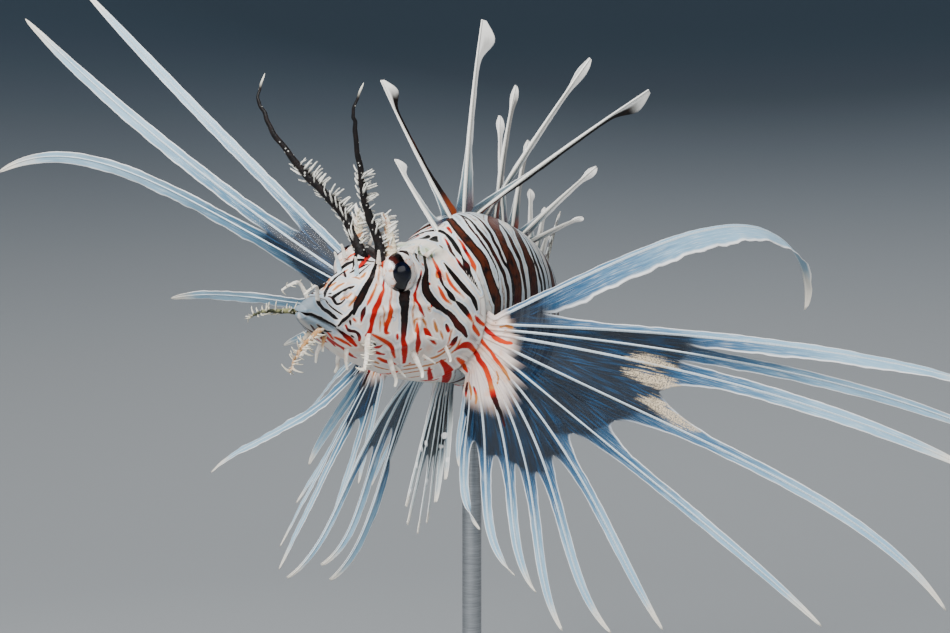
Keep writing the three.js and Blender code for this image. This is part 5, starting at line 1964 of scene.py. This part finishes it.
@dataclass
class PelvicFin(Fin):
    """One of the two fins under the chest."""

    side: int
    sweeps: Sequence[float]
    lifts: Sequence[float]
    curls: Sequence[float]
    hooks: Sequence[float]
    widths: Sequence[float] = (1.0, 1.0, 1.0, 1.0, 1.0, 1.0)
    webs: Sequence[float] = (0.5, 0.5, 0.5, 0.5, 0.55)
    from_x: float = 0.345
    to_x: float = 0.385

    def ray(self, i: int) -> Ray:
        """Return one ray."""
        x = lerp(self.from_x, self.to_x, self.down(i))
        base = np.array([x, self.side * 0.03, -0.115]) * BODY.length

        def heading(s: Array) -> Array:
            """Return the ray's direction at shares of its length."""
            lift = self.lifts[i] + self.curls[i] * s + self.hooks[i] * s**4
            return sideways(self.side, self.sweeps[i], lift)

        return Ray(base, self.lengths[i], heading)

    def borders(self, s: Array, i: int) -> tuple[Array, Array]:
        """Return the widths of the free skin before and after a ray."""
        return 0.5 + 0 * s, self.widths[i] * (1 - s**5) ** 0.6 + 0.25

    def flesh(self, s: Array, i: int) -> Array:
        """Return how fleshy every ray is at shares of its length."""
        return 0.5 * (1 - smooth(s, 0.02, 0.12))

    def names(self) -> tuple[str, ...]:
        """Return the piece's name and the CAD node that it stands for."""
        return f"pelvic_{SIDES[self.side]}", f"pelvic_fin_{SIDES[self.side]}"

    def shape(self) -> FinShape:
        """Return the fin's shape."""
        return FinShape(
            rays=self.rays(),
            notches=self.webs,
            borders=self.borders,
            ridge=(0.5, 0.14),
            flesh=self.flesh,
            notch_reach=0.2,
            rows=64,
            billow=0.45,
            seed=6.0 + self.side,
        )


PELVICS = (
    PelvicFin(
        side=LEFT, lengths=(37, 41, 40, 35, 30, 25), sweeps=(-60, -59, -55, -50, -46, -42),
        lifts=(-46, -48, -57, -70, -68, -62), curls=(0, 0, 0, 0, 0, 0), hooks=(0, 0, 0, 0, 0, 0),
        finish=FinFinish("left pelvic skin", ray=0xC9D2D2, web=0x101A20, web_light=0x3A5260, ribbon=0x4F6A78,
                         ribbon_end=0xD8E0DC, clear=0.15, ribbon_clear=0.25, dots=1.0),
    ),
    PelvicFin(
        side=RIGHT, lengths=(59, 53, 56, 50, 40, 31), sweeps=(-41, -38, -36, -34, -26, -14),
        lifts=(-60, -65, -78, -79, -78, -72), curls=(-35, -41, -12, 0, 0, 0), hooks=(51, 63, 40, 0, 0, 0),
        widths=(1.0, 1.4, 2.0, 2.2, 1.6, 1.0), webs=(0.35, 0.25, 0.4, 0.4, 0.5),
        finish=FinFinish("right pelvic skin", web=0x0E2A42, web_light=0x5F8CA8, clear=0.35),
    ),
)


# Geometry trees


class GeometryTree(NodeTree):
    """A tree of geometry nodes, put on an object as a modifier and then turned into a plain mesh."""

    def __init__(self, name: str, inputs: dict[str, tuple[str, object]]) -> None:
        """Make the tree with named inputs.

        Args:
            name: The tree's name.
            inputs: For each input its socket type and value.
        """
        self.tree = bpy.data.node_groups.new(name, "GeometryNodeTree")
        super().__init__(self.tree)
        face = self.tree.interface
        face.new_socket(name="Geometry", in_out="INPUT", socket_type="NodeSocketGeometry")
        face.new_socket(name="Geometry", in_out="OUTPUT", socket_type="NodeSocketGeometry")
        self.values: dict[str, object] = {}
        for key, (kind, value) in inputs.items():
            made = face.new_socket(name=key, in_out="INPUT", socket_type=kind)
            self.values[made.identifier] = value
        self.source = self.nodes.new("NodeGroupInput")
        self.output = self.nodes.new("NodeGroupOutput")

    def given(self, name: str) -> bpy.types.NodeSocket:
        """Return one of the named inputs."""
        return self.source.outputs[name]

    def vector(self, operation: str, first: object, second: object) -> bpy.types.NodeSocket:
        """Return the result of a Vector Math node on two vectors."""
        return self.out("ShaderNodeVectorMath", {"operation": operation}, {0: first, 1: second})

    def label(self, geometry: bpy.types.NodeSocket, name: str, value: object) -> bpy.types.NodeSocket:
        """Return geometry that carries a number on its points under a name.

        Args:
            geometry: The geometry.
            name: What the number is called.
            value: The number, or the socket that gives it.

        Returns:
            The new geometry.
        """
        settings = {"data_type": "FLOAT", "domain": "POINT"}
        values = {"Geometry": geometry, "Name": name, "Value": value}
        return self.out("GeometryNodeStoreNamedAttribute", settings, values)

    def apply(self, source: bpy.types.Object, geometry: bpy.types.NodeSocket, material: bpy.types.Material,
              name: str) -> bpy.types.Object:
        """Run the tree on an object and return the result as a plain mesh.

        Args:
            source: The object that the tree starts from, which is deleted.
            geometry: The socket to hand out.
            material: The material to set.
            name: The new object's name.

        Returns:
            The new object.
        """
        real = self.out("GeometryNodeRealizeInstances", {}, {"Geometry": geometry})
        dressed = self.out("GeometryNodeSetMaterial", {}, {"Geometry": real, "Material": material})
        self.feed(self.output.inputs[0], dressed)
        modifier = source.modifiers.new(self.tree.name, "NODES")
        modifier.node_group = self.tree
        for identifier, value in self.values.items():
            modifier[identifier] = value
        ready = source.evaluated_get(bpy.context.evaluated_depsgraph_get())
        mesh = bpy.data.meshes.new_from_object(ready)
        bpy.data.objects.remove(source)
        made = bpy.data.objects.new(name, mesh)
        bpy.context.scene.collection.objects.link(made)
        made.data.shade_smooth()
        turn_outwards(made)
        return made


def curve_object(name: str, points: Array) -> bpy.types.Object:
    """Return a poly curve through points of the fish's frame, placed in the model's frame.

    Args:
        name: The curve's name.
        points: Places in millimetres, in the fish's frame.

    Returns:
        The curve's object.
    """
    curve = bpy.data.curves.new(name, "CURVE")
    curve.dimensions = "3D"
    spline = curve.splines.new("POLY")
    placed = FISH.to_model(points) * MM
    spline.points.add(len(placed) - 1)
    for spot, point in zip(spline.points, placed):
        spot.co = (*point, 1.0)
    made = bpy.data.objects.new(name, curve)
    bpy.context.scene.collection.objects.link(made)
    return made


@dataclass
class Feeler:
    """A tapering feeler of skin with a fringe of small branches."""

    name: str
    path: Sequence[Sequence[float]]
    radius: float
    finish: TentacleFinish
    nodes: tuple[str, ...] = ()
    branches: int = 40
    reach: float = 3.0
    fringe_from: float = 0.05
    fringe_to: float = 0.6
    branch_radius: float = 0.22
    flat: float = 0.7
    seed: int = 1
    taper: float = 0.86
    waves: float = 0.0
    around: int = 14
    sway: float = 0.8
    lean: float = 0.55

    def points(self) -> Array:
        """Return the feeler's middle line in the fish's frame, in millimetres."""
        line = smooth_path(np.array(self.path) * BODY.length, 90)
        s = np.linspace(0, 1, len(line))[:, None]
        wander = np.stack([ripple(s[:, 0] * 2.2, self.seed + k) for k in range(3)], -1)
        return line + self.waves * wander * smooth(s, 0.1, 0.5)

    def stalk(self) -> bpy.types.Object:
        """Build the feeler's own stalk as a closed tapering tube, wider than it is thick."""
        line = self.points()
        s = np.linspace(0, 1, len(line))
        tangent = unit(np.gradient(line, axis=0))
        side = unit(np.cross(tangent, np.array([1.0, 0.25, 0.1])))
        front = np.cross(side, tangent)
        size = self.radius * (1 - self.taper * s**0.8) * (1 + 0.07 * ripple(s * 9, self.seed))
        size[-3:] *= (0.85, 0.6, 0.2)
        turn = np.linspace(0, 2 * math.pi, self.around, endpoint=False)[None, :, None]
        oval = np.cos(turn) * side[:, None] + self.flat * np.sin(turn) * front[:, None]
        points = (line[:, None] + size[:, None, None] * oval).reshape(-1, 3)
        data = {"along": np.repeat(s, self.around), "fringe": np.zeros(len(points))}
        made = mesh_object(f"{self.name}_stalk", points, tube_faces(len(line), self.around), data)
        turn_outwards(made)
        return made

    def fringe(self, material: bpy.types.Material) -> bpy.types.Object:
        """Build the branches along the feeler with geometry nodes.

        Args:
            material: The branches' material.

        Returns:
            The branches as one mesh.
        """
        tree = GeometryTree(f"{self.name} fringe", {
            "Branches": ("NodeSocketInt", self.branches),
            "Reach": ("NodeSocketFloat", self.reach * MM),
            "Thickness": ("NodeSocketFloat", self.branch_radius * MM),
            "Start": ("NodeSocketFloat", self.fringe_from),
            "End": ("NodeSocketFloat", self.fringe_to),
            "Seed": ("NodeSocketInt", self.seed),
        })
        seed, reach = tree.given("Seed"), Signal(tree, tree.given("Reach"))
        trimmed = tree.out("GeometryNodeTrimCurve", {"mode": "FACTOR"}, {
            "Curve": tree.given("Geometry"), "Start": tree.given("Start"), "End": tree.given("End")})
        spots = tree.out("GeometryNodeResampleCurve", {"mode": "COUNT"}, {
            "Curve": trimmed, "Count": tree.given("Branches")})
        cone = tree.out("GeometryNodeMeshCone", {"fill_type": "TRIANGLE_FAN"}, {
            "Vertices": 7, "Side Segments": 6, "Radius Top": self.branch_radius * 0.5 * MM,
            "Radius Bottom": tree.given("Thickness"), "Depth": reach}, "Mesh")
        blade = tree.out("GeometryNodeTransform", {}, {"Geometry": cone, "Scale": (1.0, 0.55, 1.0)})
        place = tree.out("GeometryNodeInputPosition", {}, {})
        share = tree.signal("ShaderNodeSeparateXYZ", {}, {0: place}, "Z") / reach
        offset = tree.out("ShaderNodeCombineXYZ", {}, {"X": share**2.0 * reach * self.sway})
        bent = tree.out("GeometryNodeSetPosition", {}, {"Geometry": blade, "Offset": offset})
        labelled = tree.label(tree.label(bent, "fringe", share), "along", 0.0)
        tangent = tree.out("GeometryNodeInputTangent", {}, {})
        toss = tree.out("FunctionNodeRandomValue", {"data_type": "FLOAT_VECTOR"}, {
            0: (-1.0, -0.4, -0.4), 1: (1.0, 0.4, 0.4), "Seed": seed})
        aside = tree.vector("CROSS_PRODUCT", tangent, toss)
        aside = tree.out("ShaderNodeVectorMath", {"operation": "NORMALIZE"}, {0: aside})
        rise = tree.out("ShaderNodeVectorMath", {"operation": "SCALE"}, {0: tangent, "Scale": self.lean})
        settings, heading = {"axis": "Z"}, {"Vector": tree.vector("ADD", aside, rise)}
        turn = tree.out("FunctionNodeAlignRotationToVector", settings, heading)
        size = tree.out("FunctionNodeRandomValue", {"data_type": "FLOAT"}, {2: 0.6, 3: 1.0, "Seed": seed}, 1)
        placed = tree.out("GeometryNodeInstanceOnPoints", {}, {
            "Points": spots, "Instance": labelled, "Rotation": turn, "Scale": size})
        source = curve_object(f"{self.name}_line", self.points())
        return tree.apply(source, placed, material, f"{self.name}_fringe")

    def dress(self) -> None:
        """Build the feeler and add it to the scene."""
        material = self.finish.material()
        parts = [self.stalk()]
        if self.branches:
            parts.append(self.fringe(material))
        add_piece(join_meshes(self.name, parts), material, "tentacle", *self.nodes)


DARK_FEELER = TentacleFinish(
    "dark feeler", stalk=0x0B0809, mottle=0x241815, fringe=0xE6E4DA, tip_from=0.9, specks=0.7, pale_from=0.3)
PALE_FEELER = TentacleFinish("pale feeler", stalk=0xB98A5A, mottle=0xE3D6C0, tip_from=0.5, mottled=0.8)
WHITE_FEELER = TentacleFinish("white feeler", stalk=0xE9E2D6, mottle=0xC9A88A, tip_from=0.4, mottled=0.5)
FEELERS = (
    Feeler(
        name="brow_feeler_left", nodes=("brow_tentacle_left",), finish=DARK_FEELER, radius=1.45, waves=0.25,
        path=((0.143, -0.029, 0.082), (0.137, -0.02, 0.12), (0.115, -0.008, 0.161), (0.085, -0.007, 0.22),
              (0.055, -0.006, 0.29), (0.045, -0.006, 0.32), (0.047, -0.018, 0.362)),
        branches=84, reach=2.9, fringe_to=0.5, seed=3, branch_radius=0.6,
    ),
    Feeler(
        name="brow_feeler_right", nodes=("brow_tentacle_right",), finish=DARK_FEELER, radius=1.5, waves=0.25,
        path=((0.158, 0.024, 0.086), (0.14, 0.056, 0.147), (0.115, 0.086, 0.18), (0.085, 0.126, 0.219),
              (0.055, 0.163, 0.266), (0.045, 0.186, 0.3), (0.04, 0.2, 0.327), (0.045, 0.196, 0.365)),
        branches=110, reach=3.3, fringe_to=0.52, seed=5, branch_radius=0.62,
    ),
    Feeler(
        name="snout_feeler_left", nodes=("snout_tentacle_left",), finish=PALE_FEELER, radius=0.85,
        path=((0.035, -0.02, -0.026), (0.0, -0.022, -0.052), (-0.025, -0.024, -0.075),
              (-0.035, -0.026, -0.105)),
        branches=30, reach=2.0, fringe_from=0.2, fringe_to=0.95, branch_radius=0.45, seed=7, waves=0.3,
    ),
    Feeler(
        name="snout_feeler_right", nodes=("snout_tentacle_right",), radius=0.85, waves=0.3,
        finish=TentacleFinish("green feeler", stalk=0x2E3220, mottle=0x8C8B62, tip_from=0.75, mottled=0.9),
        path=((0.03, 0.012, -0.013), (-0.01, 0.03, -0.012), (-0.04, 0.05, -0.02), (-0.055, 0.065, -0.03)),
        branches=34, reach=2.0, fringe_from=0.15, fringe_to=0.95, branch_radius=0.42, seed=9,
    ),
)


@dataclass(frozen=True)
class Flap:
    """A small flap or branch of skin on the head, on one side or both, in shares of the length."""

    path: tuple[tuple[float, float, float], ...]
    radius: float
    finish: TentacleFinish = WHITE_FEELER
    branches: int = 0
    reach: float = 1.5
    leaf: float = 0.25
    flat: float = 0.45
    sides: tuple[int, ...] = (RIGHT, LEFT)


BLUE_FLAP = TentacleFinish("blue flap", stalk=0xB9D3E0, mottle=0xDDE9EE, tip_from=0.5, mottled=0.6)
FLAP_SEED = 20
LOBE = TentacleFinish(
    "fringed lobe", stalk=0xE2D6BA, mottle=0xA8622E, fringe=0xF2EFE6, tip_from=0.7, mottled=0.9)
FLAPS = (
    Flap(((0.157, 0.036, 0.094), (0.15, 0.034, 0.125), (0.136, 0.027, 0.163)), 1.9, LOBE, 44, 2.3, 0.75),
    Flap(((0.115, 0.006, 0.05), (0.108, 0.008, 0.07), (0.098, 0.01, 0.088)), 0.75, BLUE_FLAP, sides=(LEFT,)),
    Flap(((0.115, 0.03, 0.05), (0.108, 0.032, 0.072), (0.097, 0.034, 0.09)), 0.75, BLUE_FLAP, sides=(RIGHT,)),
    Flap(((0.022, 0.01, 0.01), (0.005, 0.018, 0.034), (-0.012, 0.022, 0.03), (-0.028, 0.024, 0.02)), 0.6,
         WHITE_FEELER, 8, 1.2),
    Flap(((0.103, 0.054, -0.032), (0.1, 0.062, -0.062), (0.092, 0.068, -0.09)), 0.95,
         WHITE_FEELER, 30, 1.9, 0.55),
    Flap(((0.175, 0.05, -0.07), (0.177, 0.06, -0.09), (0.184, 0.064, -0.104), (0.181, 0.066, -0.116)), 0.8),
    Flap(((0.206, 0.072, -0.055), (0.21, 0.084, -0.072), (0.217, 0.09, -0.086), (0.215, 0.094, -0.096)),
         0.85),
    Flap(((0.266, 0.088, -0.036), (0.268, 0.098, -0.048), (0.272, 0.104, -0.06), (0.27, 0.106, -0.066)), 0.6),
    Flap(((0.09, 0.027, -0.06), (0.087, 0.031, -0.078), (0.091, 0.034, -0.095)), 0.7),
    Flap(((0.045, 0.016, -0.041), (0.038, 0.02, -0.054), (0.036, 0.024, -0.068)), 0.65, PALE_FEELER),
    Flap(((0.235, 0.047, 0.104), (0.246, 0.049, 0.113), (0.256, 0.051, 0.12)), 0.7),
    Flap(((0.128, 0.036, 0.082), (0.123, 0.038, 0.094), (0.118, 0.04, 0.104)), 0.7),
    Flap(((0.196, 0.046, 0.106), (0.204, 0.048, 0.117), (0.212, 0.05, 0.126)), 0.6),
    Flap(((0.215, 0.084, -0.028), (0.227, 0.092, -0.029), (0.238, 0.098, -0.03)), 0.6),
    Flap(((0.22, 0.084, -0.06), (0.23, 0.092, -0.065), (0.24, 0.098, -0.07)), 0.5),
    Flap(((0.196, 0.046, -0.083), (0.203, 0.056, -0.092), (0.211, 0.063, -0.1)), 0.5),
)


def dress_flaps() -> None:
    """Build the small flaps and spines of the head, one piece for each finish."""
    groups: dict[TentacleFinish, list[bpy.types.Object]] = {}
    materials: dict[TentacleFinish, bpy.types.Material] = {}
    for n, flap in enumerate(FLAPS):
        if flap.finish not in materials:
            materials[flap.finish] = flap.finish.material()
        for side in flap.sides:
            feeler = Feeler(
                name=f"flap_{n}_{side + 1}",
                path=[(x, y * side, z) for x, y, z in flap.path],
                radius=flap.radius,
                finish=flap.finish,
                branches=flap.branches,
                reach=flap.reach,
                flat=flap.flat,
                seed=FLAP_SEED + n + side,
                fringe_to=0.97,
                branch_radius=flap.leaf,
                taper=0.6,
            )
            parts = groups.setdefault(flap.finish, [])
            parts.append(feeler.stalk())
            if flap.branches:
                parts.append(feeler.fringe(materials[flap.finish]))
    for finish, parts in groups.items():
        made = join_meshes(finish.name.replace(" ", "_") + "s", parts)
        add_piece(made, materials[finish], "skin")


# Eyes


@dataclass
class Eye:
    """An eye: a glass ball, flattened, with a clear bulge over the pupil."""

    side: int
    body: BodyShape
    rings: int = 48
    around: int = 72
    bulge: float = 0.4
    dome: float = 0.82
    gaze: tuple[float, float] = (0.38, -0.16)
    bar_slant: float = 0.22

    def dress(self) -> None:
        """Build the eye and add it to the scene."""
        axes = self.body.eye_axes(self.side)
        radius, depth = (v * self.body.length for v in (self.body.eye_radius, self.body.eye_depth))
        pole = 0.004
        tilt = np.linspace(pole, math.pi - pole, self.rings)[:, None]
        turn = np.linspace(0, 2 * math.pi, self.around, endpoint=False)[None, :]
        reach = np.sin(tilt) * np.ones_like(turn)
        forward, upward = reach * np.cos(turn), reach * np.sin(turn)
        outward = np.cos(tilt) * np.ones_like(turn)
        ball = np.stack([forward, outward, upward], -1)
        gaze = unit(np.array([self.gaze[0], 1.0, self.gaze[1]]))
        from_gaze = np.linalg.norm(np.cross(ball, gaze), axis=-1)
        clear = self.bulge * (1 - smooth(from_gaze, 0.35, 0.75)) * (outward > 0)
        local = np.stack([forward * radius, outward * depth * self.dome + clear, upward * radius], -1)
        points = local.reshape(-1, 3) @ axes + self.body.eye_centre(self.side)
        front = (outward > 0).ravel()
        across = forward - gaze[0] - self.bar_slant * (upward - gaze[2])
        data = {
            "eye_reach": np.where(front, from_gaze.ravel(), 1.2),
            "eye_across": np.where(front, across.ravel(), 1.0),
            "eye_above": (upward - gaze[2]).ravel(),
        }
        label = SIDES[self.side]
        made = mesh_object(f"glass_eye_{label}", points, tube_faces(self.rings, self.around), data)
        turn_outwards(made)
        add_piece(made, EyeFinish().material(), "eye", f"eye_{label}")


# Stand


def dress_stand() -> None:
    """Give the stand's CAD parts their finishes."""
    lacquer, steel = PaintedFinish().material(), SteelFinish().material()
    for node, material in (("stand_base", lacquer), ("stand_collar", steel), ("stand_rod", steel)):
        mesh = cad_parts[node].data
        mesh.materials.clear()
        mesh.materials.append(material)
        log.info("%s dressed", node)


# Studio


@dataclass
class Studio:
    """A pale floor that curves up behind into a wall, with painted shade that darkens it upwards, soft
    lights, and the camera at the photograph's angle.
    """

    azimuth: float = math.radians(-54.7)
    elevation: float = math.radians(2.0)
    distance: float = 0.353
    lens: float = 56.8
    aside: float = 21.6
    rise: float = -3.8
    flat: float = 0.42
    cove: float = 0.75
    height: float = 2.4
    around: int = 96
    pale: int = 0xA4A8AB
    wall: int = 0x44525F
    # The wall's darker colour, which the floor fades to with height, is painted shade.
    sky_colour: int = 0xD7DBDF
    sky_strength: float = 0.2
    middle: tuple[float, float, float] = (0.0, 0.0, 0.15)

    def axes(self) -> tuple[Array, Array, Array]:
        """Return the camera's directions to the right, up and backwards."""
        a, e = self.azimuth, self.elevation
        back = np.array([math.sin(a) * math.cos(e), -math.cos(a) * math.cos(e), math.sin(e)])
        right = np.array([math.cos(a), math.sin(a), 0.0])
        return right, np.cross(back, right), back

    def camera(self) -> None:
        """Set up the camera."""
        right, up, back = self.axes()
        neck = FISH.to_model(np.array([0.2, 0.0, 0.02]) * BODY.length)
        aim = (neck + self.aside * right + self.rise * up) * MM
        data = bpy.data.cameras.new("camera")
        data.lens, data.sensor_width, data.clip_start = self.lens, 36.0, 0.01
        made = bpy.data.objects.new("camera", data)
        turned = Matrix([[*row] for row in np.stack([right, up, back], 1)]).to_4x4()
        made.matrix_world = Matrix.Translation(aim + self.distance * back) @ turned
        bpy.context.scene.collection.objects.link(made)
        bpy.context.scene.camera = made

    def floor(self) -> None:
        """Lay the pale floor, which curves up behind into a wall all round, its colour darkening with height
        as painted shade.
        """
        turn = np.linspace(0, math.pi / 2, 16)
        curve = [(self.flat + self.cove * math.sin(t), self.cove * (1 - math.cos(t))) for t in turn]
        top = (self.flat + self.cove, self.height)
        profile = np.array([(0.02, 0.0), (0.5 * self.flat, 0.0), *curve, top])
        about = np.linspace(0, 2 * math.pi, self.around, endpoint=False)
        rings = [[(r * math.cos(a), r * math.sin(a), z) for a in about] for r, z in profile]
        mesh = bpy.data.meshes.new("floor")
        faces = [tuple(reversed(face)) for face in tube_faces(len(profile), self.around)[:-1]]
        mesh.from_pydata(np.array(rings).reshape(-1, 3).tolist(), [], faces)
        mesh.shade_smooth()
        made = bpy.data.objects.new("floor", mesh)
        bpy.context.scene.collection.objects.link(made)
        s = ShaderTree("pale floor")
        height = s.signal("ShaderNodeSeparateXYZ", {}, {0: s.place()}, "Z")
        # Painted shade: the colour fades from pale to the darker wall colour with height, as if the light
        # fell off upwards.
        colour = s.mix(height.step(0.0, 0.4), self.pale, self.wall)
        made.data.materials.append(s.finish(Base_Color=colour, Roughness=0.9, Specular_IOR_Level=0.1))

    def light(self, name: str, azimuth: float, height: float, away: float, size: float,
              power: float) -> None:
        """Add a soft square light that faces the fish.

        Args:
            name: The light's name.
            azimuth: Degrees round from straight in front of the camera, positive to its right.
            height: Degrees above the fish.
            away: Distance in metres.
            size: Side of the square in metres.
            power: Watts.
        """
        a, h = self.azimuth + math.radians(azimuth), math.radians(height)
        direction = np.array([math.sin(a) * math.cos(h), -math.cos(a) * math.cos(h), math.sin(h)])
        data = bpy.data.lights.new(name, "AREA")
        data.size, data.energy = size, power
        made = bpy.data.objects.new(name, data)
        made.location = Vector(self.middle) + Vector(direction) * away
        made.rotation_euler = Vector(direction).to_track_quat("Z", "Y").to_euler()
        made.visible_camera = False
        bpy.context.scene.collection.objects.link(made)

    def sky(self) -> None:
        """Fill the room with even pale light."""
        world = bpy.data.worlds.new("room")
        world.use_nodes = True
        shade = world.node_tree.nodes["Background"]
        shade.inputs["Color"].default_value = rgb(self.sky_colour)
        shade.inputs["Strength"].default_value = self.sky_strength
        bpy.context.scene.world = world

    def build(self) -> None:
        """Set up camera, floor and lights."""
        self.camera()
        self.floor()
        self.sky()
        self.light("key", azimuth=-25, height=42, away=0.85, size=0.5, power=15.0)
        self.light("fill", azimuth=50, height=10, away=1.0, size=0.8, power=3.5)
        self.light("back", azimuth=165, height=40, away=0.9, size=0.7, power=3.0)


def main() -> None:
    """Build the fish and its stand in order."""
    logging.basicConfig(level=logging.INFO, format="%(message)s")
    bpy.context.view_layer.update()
    Studio().build()
    FishSkin(BODY).dress()
    for side in (LEFT, RIGHT):
        Eye(side, BODY).dress()
    for fin in (*PECTORALS, *MEDIAN_FINS, TailFin(), *PELVICS):
        fin.dress()
    for feeler in FEELERS:
        feeler.dress()
    dress_flaps()
    dress_stand()


if __name__ == "__main__":
    main()
